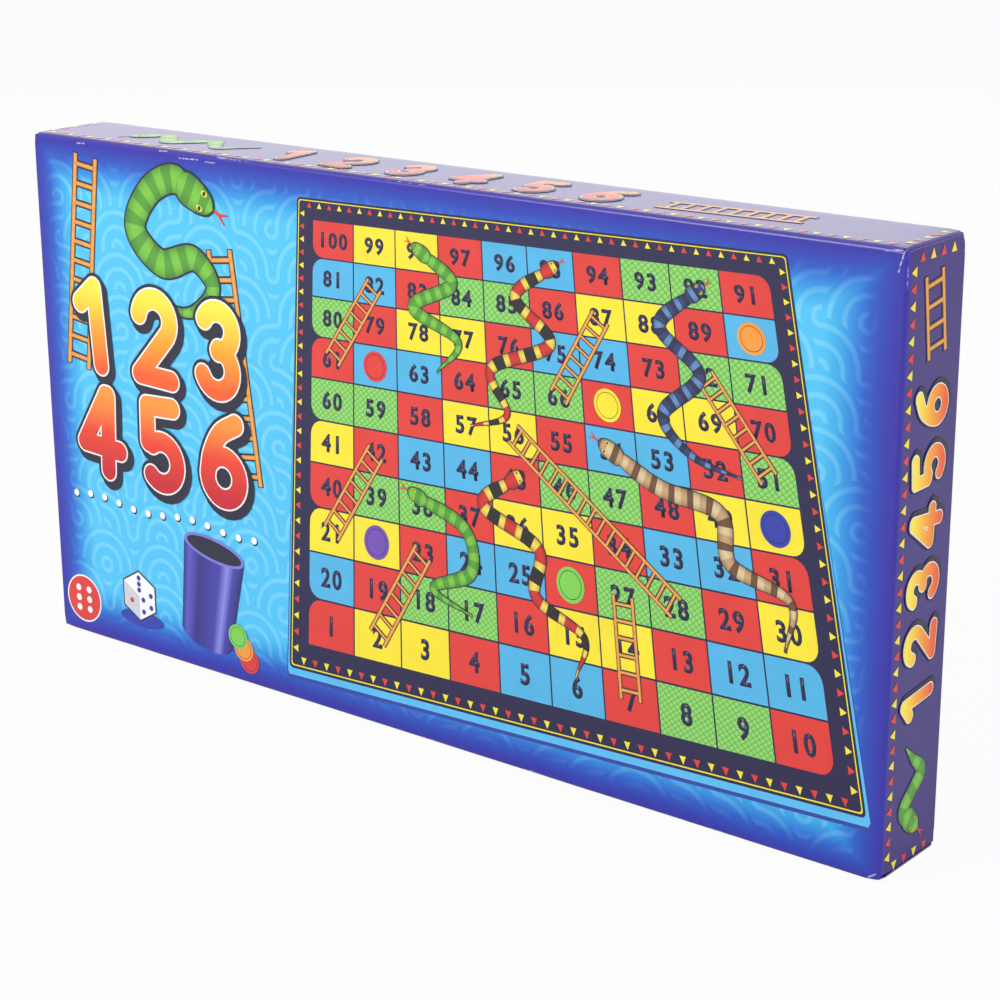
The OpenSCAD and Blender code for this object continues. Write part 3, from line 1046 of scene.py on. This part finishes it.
def ladder(layout, foot, head, width, layer, rung_gap=8.0, stout=2.0):
    foot, head = np.array(foot, float), np.array(head, float)
    length = np.linalg.norm(head - foot)
    ahead = (head - foot) / length
    aside = np.array((-ahead[1], ahead[0]))
    count = max(2, int(length / rung_gap))
    bars = [(foot + aside * side * width / 2, head + aside * side * width / 2) for side in (-1, 1)]
    for k in range(count):
        middle = foot + ahead * length * (k + 0.5) / count
        bars.append((middle - aside * width / 2, middle + aside * width / 2))
    for k, (a, b) in enumerate(bars):
        reach = (b - a) / np.linalg.norm(b - a) * LADDER_REACH
        path = np.linspace(a, b, 6)
        rim = np.linspace(a - reach, b + reach, 3)
        under = 0 if k < 2 else -0.2
        layout.strip(rim, stout + LADDER_RIM, "deep", layer + under)
        layout.strip(path, stout if k < 2 else stout * 0.8, "timber", layer + under + 1.0)


print("ladders have a rim of", LADDER_RIM / 2, "mm")

# %% Snakes
SKULL_POINTS = 18


def snake(layout, points, girth, name, layer, rim=1.0):
    """A body along a curve, then tongue, skull and eyes, all sized by the girth."""
    path = smooth_path(points)
    share = np.linspace(0, 1, len(path))
    swell = np.minimum(1.0, 0.62 + share * 4) * np.clip((1 - share) / 0.45, 0.06, 1.0) ** 0.8
    layout.strip(path, girth * swell + rim, "deep", layer, 0.4)
    layout.strip(path, girth * swell, name, layer + 1.0, 0.4)
    head = path[0] - path[3]
    head /= np.linalg.norm(head)
    turn = math.degrees(math.atan2(head[1], head[0]))
    aside = np.array((-head[1], head[0]))
    split = path[0] + head * girth * 1.35
    layout.strip([path[0] + head * girth * 0.7, split], girth * 0.12, "red", layer + 0.2)
    for k, lean in enumerate((-0.3, 0.3)):
        tip = split + (head + aside * lean * 2) * girth * 0.35
        layout.strip([split - head * girth * 0.04, tip], [girth * 0.12, girth * 0.05], "red",
                     layer + 0.3 + 0.1 * k)
    skull = np.linspace(path[0] - head * girth * 0.95, path[0] + head * girth * 0.98, SKULL_POINTS)
    t = np.linspace(-1, 1, SKULL_POINTS)
    bulge = np.sqrt(np.clip(1 - np.abs(t) ** 2.6, 0.002, 1)) * (1.0 - 0.22 * t)
    cheeks = girth * 1.14 * bulge
    layout.strip(skull + np.outer(t, head) * rim * 0.5, cheeks + rim * 0.9, "deep", layer + 0.7)
    layout.strip(skull, cheeks, name, layer + 1.8)
    for side in (-1, 1):
        eye = path[0] + head * girth * 0.4 + aside * side * girth * 0.3
        layout.disc(eye, girth * 0.15, girth * 0.11, "yellow", layer + 2.7, turn, 16)
        layout.disc(eye, girth * 0.07, girth * 0.09, "deep", layer + 3.6, turn, 12)


print("a skull has", SKULL_POINTS, "points along it")

# %% Counters and die
SPOTS = {"top": [(0.25, 0.25), (0.75, 0.75), (0.5, 0.5)], "west": [(0.5, 0.5)],
         "east": [(0.25, 0.25), (0.75, 0.75), (0.25, 0.75), (0.75, 0.25)]}


def counter(layout, centre, radius, name, layer):
    layout.disc(centre, radius, radius, name, layer)
    layout.disc(centre, radius * 0.8, radius * 0.8, "deep", layer + 0.3)
    layout.disc(centre, radius * 0.76, radius * 0.76, name, layer + 0.6)


def die(layout, centre, size, layer):
    """A cube seen from a corner, with the traditional spots on three faces."""
    c, s = size * 0.87, size * 0.5
    x, y = centre
    outline = [(x, y + 2 * s), (x - c, y + s), (x - c, y - s), (x, y - 2 * s), (x + c, y - s),
               (x + c, y + s)]
    middle = np.mean(outline, axis=0)
    layout.patch([tuple(middle + (np.array(p) - middle) * 1.07) for p in outline], "deep", layer)
    top = np.array([(x, y + 2 * s), (x - c, y + s), (x, y), (x + c, y + s)])
    west = np.array([(x - c, y + s), (x - c, y - s), (x, y - 2 * s), (x, y)])
    east = np.array([(x, y), (x, y - 2 * s), (x + c, y - s), (x + c, y + s)])
    for key, corners, name in (("top", top, "white"), ("west", west, "grey"), ("east", east, "white")):
        layout.patch([tuple(p) for p in corners], name, layer + 0.8)
        paint = "red" if key == "west" else "royal"
        for a, b in SPOTS[key]:
            spot = corners[0] + (corners[1] - corners[0]) * a + (corners[3] - corners[0]) * b
            layout.disc(spot, size * 0.11, size * 0.11, paint, layer + 1.6, segments=14)


print("spots on the die", {key: len(places) for key, places in SPOTS.items()})

# %% Cup
CUP_FOOT, CUP_MOUTH, CUP_TAPER, CUP_ROUND = -0.55, 0.6, 0.84, 0.15


def cup(layout, centre, size, layer, turn):
    """A tumbler standing at a slant, its mouth up."""
    turned = Matrix.Rotation(math.radians(turn), 2)

    def at(u, v):
        moved = turned @ Vector((u, v)) * size
        return centre[0] + moved.x, centre[1] + moved.y

    down = Vector(at(0, -1)) - Vector(at(0, 0))
    axis = [at(0, v) for v in np.linspace(CUP_FOOT, CUP_MOUTH, 5)]
    for vert in layout.strip(axis, np.linspace(CUP_TAPER, 1.0, 5) * size, "cup_shade", layer, cells=16):
        bulge = CUP_ROUND * math.sqrt(max(0.0, 1 - (2 * vert[layout.rise] - 1) ** 2))
        vert.co.x += down.x * bulge
        vert.co.y += down.y * bulge
    layout.disc(at(0, CUP_MOUTH), size * 0.5, size * CUP_ROUND, "cuplight", layer + 0.9, turn)
    layout.disc(at(0, CUP_MOUTH), size * 0.45, size * 0.115, "deep", layer + 1.8, turn)


print("a cup is", round(CUP_MOUTH - CUP_FOOT, 2), "times as tall as wide")

# %% Edge triangles
TRIANGLE_INKS = ("yellow", "red")


def edge_triangles(layout, low, high, pitch, size, layer, without=None):
    """Small triangles that point outwards along a rectangle's sides, numbered from the lower one."""
    (x0, y0), (x1, y1) = low, high
    sides = [((x0, y0), (x1, y0)), ((x1, y0), (x1, y1)), ((x1, y1), (x0, y1)), ((x0, y1), (x0, y0))]
    for a, b in [side for k, side in enumerate(sides) if k != without]:
        a, b = np.array(a, float), np.array(b, float)
        length = np.linalg.norm(b - a)
        ahead = (b - a) / length
        outward = np.array((ahead[1], -ahead[0]))
        count = int(length // pitch)
        for k in range(count):
            foot = a + ahead * (length * (k + 0.5) / count)
            layout.patch([tuple(foot + ahead * size * 0.5), tuple(foot + outward * size * 0.95),
                          tuple(foot - ahead * size * 0.5)], TRIANGLE_INKS[k % 2], layer)


print("triangles in", TRIANGLE_INKS)

# %% [markdown]
# ## The board picture
# Squares from 1 to 100 that run to and fro are the traditional board. A grid is inset face by face, so that
# the gaps become the lines between squares, and the corners where a row turns are bevelled round. The same
# drawing serves twice: warped onto the carton's front as a board seen at a slant, and on the real board.

# %% Squares
BOARD_W, BOARD_H, RIM = 400.0, 300.0, 15.0
CELL_W, CELL_H = (BOARD_W - 2 * RIM) / 10, (BOARD_H - 2 * RIM) / 10
HALF_LINE, TURN_R = 0.75, 9.0
CELL_INKS = ("red", "yellow", "sky", "red", "green", "yellow", "red", "sky", "green")


def square_of(number):
    """Column and row of a square, the rows running to and fro from the lower left."""
    row, column = divmod(number - 1, 10)
    return (column if row % 2 == 0 else 9 - column), row


def on_board(column, row):
    return RIM + (column + 0.5) * CELL_W, RIM + (row + 0.5) * CELL_H


def draw_squares(layout, layer):
    bm = layout.bm
    place = placed((BOARD_W / 2, BOARD_H / 2), 0, 10 * CELL_W, 10 * CELL_H)
    grid = bmesh.ops.create_grid(bm, x_segments=10, y_segments=10, size=0.5, matrix=place)["verts"]
    faces = list({face for vert in grid for face in vert.link_faces})
    lines = bmesh.ops.inset_individual(bm, faces=faces, thickness=HALF_LINE)["faces"]
    bmesh.ops.delete(bm, geom=lines, context="FACES")
    bmesh.ops.delete(bm, geom=[v for v in grid if v.is_valid and not v.link_faces], context="VERTS")
    turns = []
    for face in faces:
        centre = face.calc_center_median()
        column, row = round((centre.x - RIM) / CELL_W - 0.5), round((centre.y - RIM) / CELL_H - 0.5)
        layout.stamp(face.verts, CELL_INKS[(column * 5 + row * 7) % 9], layer)
        outer = column in (0, 9)
        going_up = (row % 2 == 1) == (column == 9)
        for vert in face.verts if outer else ():
            if (vert.co.x > centre.x) == (column == 9) and (vert.co.y > centre.y) == going_up:
                turns.append(vert)
    bmesh.ops.bevel(bm, geom=turns, affect="VERTICES", offset=TURN_R, segments=5, profile=0.5, material=-1)
    print(len(faces), "squares,", len(turns), "rounded turns")


print("square", CELL_W, "x", CELL_H, "mm, square 20 lies at", square_of(20))

# %% The whole board
LADDERS = [(2, 23), (7, 27), (21, 42), (28, 56), (51, 72), (61, 82), (66, 87)]
SNAKES = [("grass_snake", [(2.1, 9.0), (2.8, 8.3), (1.9, 7.6), (2.9, 6.9), (2.4, 6.1)], 9.0),
          ("coral_snake", [(5.0, 9.0), (4.2, 8.2), (4.9, 7.2), (3.6, 6.4), (3.9, 5.4), (3.1, 5.0)], 8.0),
          ("river_snake", [(8.0, 8.9), (7.2, 8.0), (7.9, 7.0), (7.1, 6.0), (7.6, 5.2), (8.5, 4.9)], 8.5),
          ("sand_snake", [(6.0, 5.0), (6.9, 4.4), (8.0, 4.1), (8.1, 3.1), (9.1, 2.6), (8.9, 1.6)], 10.0),
          ("coral_snake", [(4.0, 4.0), (3.3, 3.3), (4.4, 2.6), (4.3, 1.6), (5.2, 1.0), (5.0, 0.2)], 8.0),
          ("grass_snake", [(1.9, 3.2), (2.9, 2.7), (3.0, 1.8), (2.2, 1.3), (3.0, 0.9)], 8.0)]
COUNTERS = [("orange", 90), ("violet", 22), ("lime", 26), ("red", 62), ("royal", 50), ("yellow", 67)]
NUMBER_SIZE, LADDER_W, COUNTER_R = 15.0, 13.0, 10.0
BOARD_PARTS = ("squares", "numbers", "play")


def draw_board(layer):
    """The whole board as three drawings: ground and squares, numbers, and the pieces on top."""
    ground, numbers, play = Layout(), Layout(), Layout()
    centre = (BOARD_W / 2, BOARD_H / 2)
    ground.tile(centre, BOARD_W, BOARD_H, 3.0, "navy", layer)
    ground.tile(centre, BOARD_W - 3, BOARD_H - 3, 2.0, "yellow", layer + 0.5)
    ground.tile(centre, BOARD_W - 4.4, BOARD_H - 4.4, 2.0, "navy", layer + 1)
    edge_triangles(ground, (7, 7), (BOARD_W - 7, BOARD_H - 7), 9.0, 4.2, layer + 1.7)
    draw_squares(ground, layer + 2)
    for number in range(1, 101):
        numbers.digits(str(number), on_board(*square_of(number)), NUMBER_SIZE, "navy", layer + 2.8)
    for foot, head in LADDERS:
        ladder(play, on_board(*square_of(foot)), on_board(*square_of(head)), LADDER_W, layer + 3.4)
    for name, points, girth in SNAKES:
        snake(play, [on_board(*point) for point in points], girth, name, layer + 4.6)
    for name, square in COUNTERS:
        counter(play, on_board(*square_of(square)), COUNTER_R, name, layer + 4.2)
    return zip(BOARD_PARTS, (ground, numbers, play))


print(len(LADDERS), "ladders,", len(SNAKES), "snakes,", len(COUNTERS), "counters")

# %% Board at a slant
BOARD_CORNERS = [(146, 201), (357, 205), (394, 22), (134, 13)]
SHADE_EDGE = [(146, 199), (357, 203), (396.1, 20.4), (395.4, 17.6), (133.2, 8.5), (132.5, 11.3)]
LIGHT_EDGE = [(146, 199.5), (357, 203.5), (395.5, 20.8), (394.9, 19.1), (133.8, 10.1), (133.1, 11.8)]


def slanted(corners):
    """The perspective map from the board's flat size to four corners of its picture."""
    flat = [(0, BOARD_H), (BOARD_W, BOARD_H), (BOARD_W, 0), (0, 0)]
    rows, sides = [], []
    for (x, y), (u, v) in zip(flat, corners):
        rows += [[x, y, 1, 0, 0, 0, -u * x, -u * y], [0, 0, 0, x, y, 1, -v * x, -v * y]]
        sides += [u, v]
    a, b, c, d, e, f, g, h = np.linalg.solve(np.array(rows, float), np.array(sides, float))

    def mapping(x, y):
        w = g * x + h * y + 1
        return (a * x + b * y + c) / w, (d * x + e * y + f) / w

    return mapping


board_edge = Layout()
board_edge.patch(SHADE_EDGE, "dusk", 0.15)
board_edge.patch(LIGHT_EDGE, "azure", 1)
board_edge.print_on("front_board_edge", FACES["front"], "carton")
for part, layout in draw_board(2):
    layout.warp(slanted(BOARD_CORNERS))
    layout.print_on("front_board_" + part, FACES["front"], "carton")

# %% [markdown]
# ## The rest of the front
# Beside the board picture the front has room for a bold heading and for the things in the box. The heading
# is the six throws of a die as big digits, warm above and red below, each over a dark rim and a dropped
# shadow. A font would give them thin, even lines, so they are brushed: a few strokes of one width, with
# round ends.

# %% Brushed digits
def arc(x, y, radius, start, end):
    """Points on part of a circle, between two directions in degrees."""
    turn = np.radians(np.linspace(start, end, int(abs(end - start) / 8)))
    return np.stack([x + radius * np.cos(turn), y + radius * np.sin(turn)], axis=1)


BRUSHED = {
    "1": [[(-0.17, 0.74), (0.05, 0.9)], [(0.05, 0.9), (0.05, 0.1)]],
    "2": [np.vstack([arc(0, 0.68, 0.22, 170, -35), [(-0.22, 0.1)]]), [(-0.22, 0.1), (0.23, 0.1)]],
    "3": [arc(-0.01, 0.7, 0.2, 155, -85), arc(0, 0.31, 0.21, 85, -155)],
    "4": [[(0.07, 0.9), (-0.25, 0.34)], [(-0.25, 0.34), (0.27, 0.34)], [(0.1, 0.9), (0.1, 0.1)]],
    "5": [[(-0.16, 0.9), (0.2, 0.9)], [(-0.16, 0.9), (-0.19, 0.52)], arc(-0.01, 0.32, 0.22, 125, -140)],
    "6": [smooth_path([(0.16, 0.9), (-0.05, 0.76), (-0.18, 0.53), (-0.22, 0.32)]),
          arc(0, 0.32, 0.22, -180, 0), arc(0, 0.32, 0.22, 0, 180)],
}
FILLED = {"3": [(0, 0.7), (0, 0.31)], "4": [(0, 0.45)], "5": [(-0.02, 0.32)], "6": [(0, 0.32)]}
FILLED_R = 0.13
# Ink, lift, width and drop of each pass under the fill.
PASSES = (("deep", 0.5, 0.31, 0.05), ("deep", 1.5, 0.3, 0.0), ("white", 2.6, 0.235, 0.0))


def big_digits(layout, text, centre, size, fill, layer, spacing, tilt):
    """Brushed digits with a dropped shadow, a dark rim, a pale line and a shaded fill."""
    for k, character in enumerate(text):
        along = (k - (len(text) - 1) / 2) * spacing * size
        lean = math.radians(tilt[k % len(tilt)])
        turn = np.array(((math.cos(lean), math.sin(lean)), (-math.sin(lean), math.cos(lean)))) * size
        place = np.array((centre[0] + along, centre[1]))
        for hollow in FILLED.get(character, ()):
            spot = place + (np.array(hollow) - (0, 0.5)) @ turn
            layout.disc(spot, FILLED_R * size, FILLED_R * size, "deep", layer - 0.5, segments=20)
        for name, lift, width, drop in (*PASSES, (fill, 3.7, 0.2, 0.0)):
            corner = place + np.array((0.8, -1)) * drop * size
            for part, path in enumerate(BRUSHED[character]):
                line = corner + (np.asarray(path) - (0, 0.5)) @ turn
                low = layer + lift + 0.07 * part + 0.21 * (k % 2)
                for vert in layout.stroke(line, width * size, name, low):
                    vert[layout.rise] = (vert.co.y - centre[1]) / size + 0.5


print("strokes", {character: len(strokes) for character, strokes in BRUSHED.items()})

# %% Heading
# Gap between rungs and thickness of the bars.
TALL_LADDER = (7.5, 2.2)
GREEN_SNAKE = [(92, 196), (80, 201), (66, 194), (58, 179), (72, 167), (90, 171), (100, 160), (86, 149),
               (66, 152)]
heading = Layout()
ladder(heading, (20, 118), (31, 205), 11.5, 1, *TALL_LADDER)
ladder(heading, (116, 84), (104, 176), 11.5, 1, *TALL_LADDER)
snake(heading, GREEN_SNAKE, 11.0, "grass_snake", 3.2, 1.6)
big_digits(heading, "123", (66, 136), 40, "gold", 5.5, 0.88, (4, -2, -5))
big_digits(heading, "456", (67, 92), 40, "ember", 6.0, 0.88, (-3, 3, -3))
for k in range(13):
    x, y = 14 + k * 8.6, 62 + 1.2 * math.sin(k)
    heading.disc((x, y), 1.7, 1.7, "deep", 1, segments=16)
    heading.disc((x - 0.3, y + 0.4), 1.5, 1.5, "white", 1.8, segments=16)
heading.print_on("front_heading", FACES["front"], "carton")

# %% Cup, die and roundel
ROUNDEL = (14.5, 15.5)
contents = Layout()
contents.disc((92, 15), 16, 4.2, "royal", 1)
cup(contents, (91, 33), 34, 2, -9)
contents.disc((50, 14), 13, 3.6, "royal", 1)
die(contents, (49, 24), 10.5, 2)
for k, name in enumerate(("red", "orange", "lime")):
    counter(contents, (112 - 3 * k, 10 + 4.6 * k), 5.2, name, 4 + k)
contents.disc(ROUNDEL, 10.5, 10.5, "white", 1)
contents.disc(ROUNDEL, 9.8, 9.8, "red", 1.8)
for x in (-3.2, 3.2):
    for y in (-4.4, 0, 4.4):
        contents.disc((ROUNDEL[0] + x, ROUNDEL[1] + y), 1.5, 1.5, "white", 2.6, segments=16)
contents.print_on("front_contents", FACES["front"], "carton")

# %% [markdown]
# ## Top, ends, bottom and back
# The narrow faces repeat the heading between rows of small triangles, an ornament as old as printed games.
# On an end everything is turned to read upwards, which one warp of the finished drawing does. The bottom has
# the triangles alone, and the back shows the contents laid out as pictures.

# %% Narrow faces
INSET, END_SHORT = 5.3, 0.8
# Pitch, size and layer of the triangles.
TRIANGLES = (5.4, 3.4, 1)


def narrow_print(name, body, length, width, turned, plain_side):
    """A heading along a narrow face, laid out lengthways and then turned upright for an end."""
    layout = Layout()
    edge_triangles(layout, (INSET, INSET), (length - INSET, width - INSET), *TRIANGLES, plain_side)
    middle = length / 2 + (3 if turned else 0)
    big_digits(layout, "123456", (middle, width / 2), 21, "gold" if turned else "ember", 3,
               0.95 if turned else 1.4, (5, -4, 3, -5))
    foot = (middle + (66 if turned else 98), width / 2 - 2)
    ladder(layout, foot, (length - (10 if turned else 48), width / 2 + 2), 10.5, 2, 6.0, 1.8)
    start, step, count = (16, 5.6, 6) if turned else (46, 6.5, 10)
    points = [(start + step * k, width / 2 + 5.5 * math.sin(k * math.pi / 2)) for k in range(count)]
    snake(layout, points, 6.5, "grass_snake", 2, 1.0)
    if turned:
        layout.warp(lambda x, y: (width - y, x))
    layout.print_on(name + "_print", FACES[name], body, "side_print")


narrow_print("top", "carton", LENGTH, DEPTH, False, 2)
narrow_print("right", "right_flap", HEIGHT, DEPTH - END_SHORT, True, 0)
narrow_print("left", "left_flap", HEIGHT, DEPTH - END_SHORT, True, 2)

bottom = Layout()
edge_triangles(bottom, (INSET, INSET), (LENGTH - INSET, DEPTH - INSET), *TRIANGLES)
bottom.print_on("bottom_print", FACES["bottom"], "carton", "side_print")

# %% Back
MID = LENGTH / 2
back_print = Layout()
edge_triangles(back_print, (7, 7), (LENGTH - 7, HEIGHT - 7), *TRIANGLES)
back_print.tile((MID, 66), 330, 92, 8, "deep", 1)
back_print.tile((MID, 66), 327, 89, 7, "paleblue", 1.8)
big_digits(back_print, "123456", (MID, 162), 44, "gold", 4, 1.06, (4, -3, 2, -4))
ladder(back_print, (36, 128), (48, 200), 11.5, 2, *TALL_LADDER)
ladder(back_print, (352, 200), (364, 128), 11.5, 2, *TALL_LADDER)
for column in range(5):
    for row in range(4):
        shade = ("red", "yellow", "sky", "lime")[(column + 3 * row) % 4]
        back_print.tile((62 + column * 15, 39 + row * 17), 14, 16, 0, shade, 3.2)
back_print.tile((92, 64.5), 80, 72, 2, "navy", 2.6)
cup(back_print, (166, 66), 50, 3, 6)
die(back_print, (216, 60), 15, 3)
for k, name in enumerate(("red", "orange", "yellow", "lime", "royal", "violet")):
    counter(back_print, (262 + (k % 3) * 28, 50 + (k // 3) * 30), 11, name, 3)
back_print.print_on("back_print", FACES["back"], "carton")

# %% [markdown]
# ## The folded board inside
# The real board is grey board wrapped in paper: printed within, plain blue outside, and joined by a strip of
# cloth tape. The solids are right as they are, so they only need finishes. The drawing made for the carton's
# front is made once more in flat form and cut at the fold, one half for each leaf.

# %% Seam, wrapped leaves and spine
def dress(material, *nodes):
    """Gives CAD nodes a finish in place of their own."""
    for node in nodes:
        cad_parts[node].data.materials.clear()
        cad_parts[node].data.materials.append(material)
    print(material.name, "on", *nodes)


def threads(graph, point, direction, scale, distortion):
    return graph.node("ShaderNodeTexWave", {"bands_direction": direction},
                      {"Vector": point, "Scale": scale, "Distortion": distortion})


dress(grey_board, "carton_seam_strip")

wrap, graph, point = new_finish("board_paper")
linen, cross = [threads(graph, point, direction, 260.0, 0.6) for direction in "XZ"]
mottle = speckle(graph, point, 30.0, 3.0)
settle(wrap, Base_Color=mottle.mix(tint(30, 92, 160), tint(40, 112, 182)), Roughness=0.5 + mottle * 0.1,
       Normal=relief(graph, (linen + cross) * 0.00002))
dress(wrap, "board_back_leaf", "board_front_leaf")

tape, graph, point = new_finish("spine_cloth")
warp, weft = [threads(graph, point, direction, 480.0, 0.4) for direction in "XZ"]
weave = warp * weft
settle(tape, Base_Color=weave.mix(tint(20, 22, 44), tint(48, 52, 92)), Roughness=0.8,
       Normal=relief(graph, weave * 0.00004))
dress(tape, "board_spine_tape", "board_front_tape")

# %% Printed leaves
PAPER_FILM = 0.018
leaf_low, leaf_high = [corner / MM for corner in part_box("board_back_leaf")]
inner_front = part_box("board_front_leaf")[1].y / MM
half = BOARD_W / 2
stretch = Matrix.Diagonal((1, (leaf_high.x - leaf_low.x) / BOARD_H, 1, 1))
LEAVES = {
    "board_back": (face_layout(Vector((leaf_low.x, leaf_low.y, leaf_high.z + half)), -Z, X), 1),
    "board_front": (face_layout(Vector((leaf_low.x, inner_front, leaf_high.z - half)), Z, X), -1),
}
for body, (placing, keep) in LEAVES.items():
    for part, layout in draw_board(0.4):
        bmesh.ops.bisect_plane(layout.bm, geom=[*layout.bm.verts, *layout.bm.edges, *layout.bm.faces],
                               plane_co=(half, 0, 0), plane_no=(keep, 0, 0), clear_inner=True)
        bmesh.ops.dissolve_degenerate(layout.bm, dist=0.001, edges=layout.bm.edges)
        layout.print_on(body + "_" + part, placing @ stretch, body, "board_paper", PAPER_FILM)

# %% [markdown]
# ## Cup, counters and die
# These are moulded in coloured plastic: one colour right through, with a soft sheen, faint flow marks from
# the mould and a finely rubbed surface. A painted bump could stand for the die's spots, but the solid has
# real hollows. They lie inside both the cube and the ball that rounds it, so the depth below both of these
# tells the shader where the paint is.

# %% Plastics
def plastic(name, colour, deeper, rough):
    material, graph, point = new_finish(name)
    flow = speckle(graph, point, 55.0, 2.0, Distortion=1.5)
    fine = speckle(graph, point, 1500.0, 2.0)
    settle(material, Base_Color=flow.mix(colour, deeper), Roughness=rough + flow * 0.12,
           Normal=relief(graph, fine * 0.000004))
    return material, graph, point


PLASTICS = {
    "shaker_cup": ("cup_plastic", (58, 52, 160), (46, 40, 138)),
    "counter_red": ("red_plastic", (206, 40, 40), (182, 30, 34)),
    "counter_orange": ("orange_plastic", (240, 148, 48), (224, 128, 36)),
    "counter_yellow": ("yellow_plastic", (246, 220, 60), (232, 202, 44)),
    "counter_green": ("green_plastic", (96, 190, 74), (78, 168, 60)),
    "counter_blue": ("blue_plastic", (48, 70, 176), (38, 58, 156)),
    "counter_purple": ("purple_plastic", (112, 72, 176), (96, 58, 156)),
}
for node, (slot, colour, deeper) in PLASTICS.items():
    dress(plastic(slot + "_moulded", tint(*colour), tint(*deeper), 0.26)[0], node)

# %% Painted spots of the die
SPOT_DEPTH, BALL = 0.04, 1.4
ivory, graph, point = plastic("die_plastic_moulded", tint(242, 240, 234), tint(232, 230, 224), 0.2)
die_low, die_high = [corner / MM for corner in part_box("die")]
heart, reach = (die_low + die_high) / 2, (die_high.x - die_low.x) / 2
x, y, z = [abs(along_axis(graph, point, axis) / MM - heart[k]) for k, axis in enumerate("XYZ")]
from_heart = graph.math("SQRT", x * x + y * y + z * z)
near_face = x.most(y).most(z)
spot = (1 - near_face.above(reach - SPOT_DEPTH)) * (1 - from_heart.above(reach * BALL))
settle(ivory, Base_Color=spot.mix(tint(240, 239, 233), tint(34, 52, 150)))
dress(ivory, "die")

# %% Finish
low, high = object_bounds()
print("grown by", [round((b - a) / MM, 2) for a, b in zip(cad_high - cad_low, high - low)], "mm")
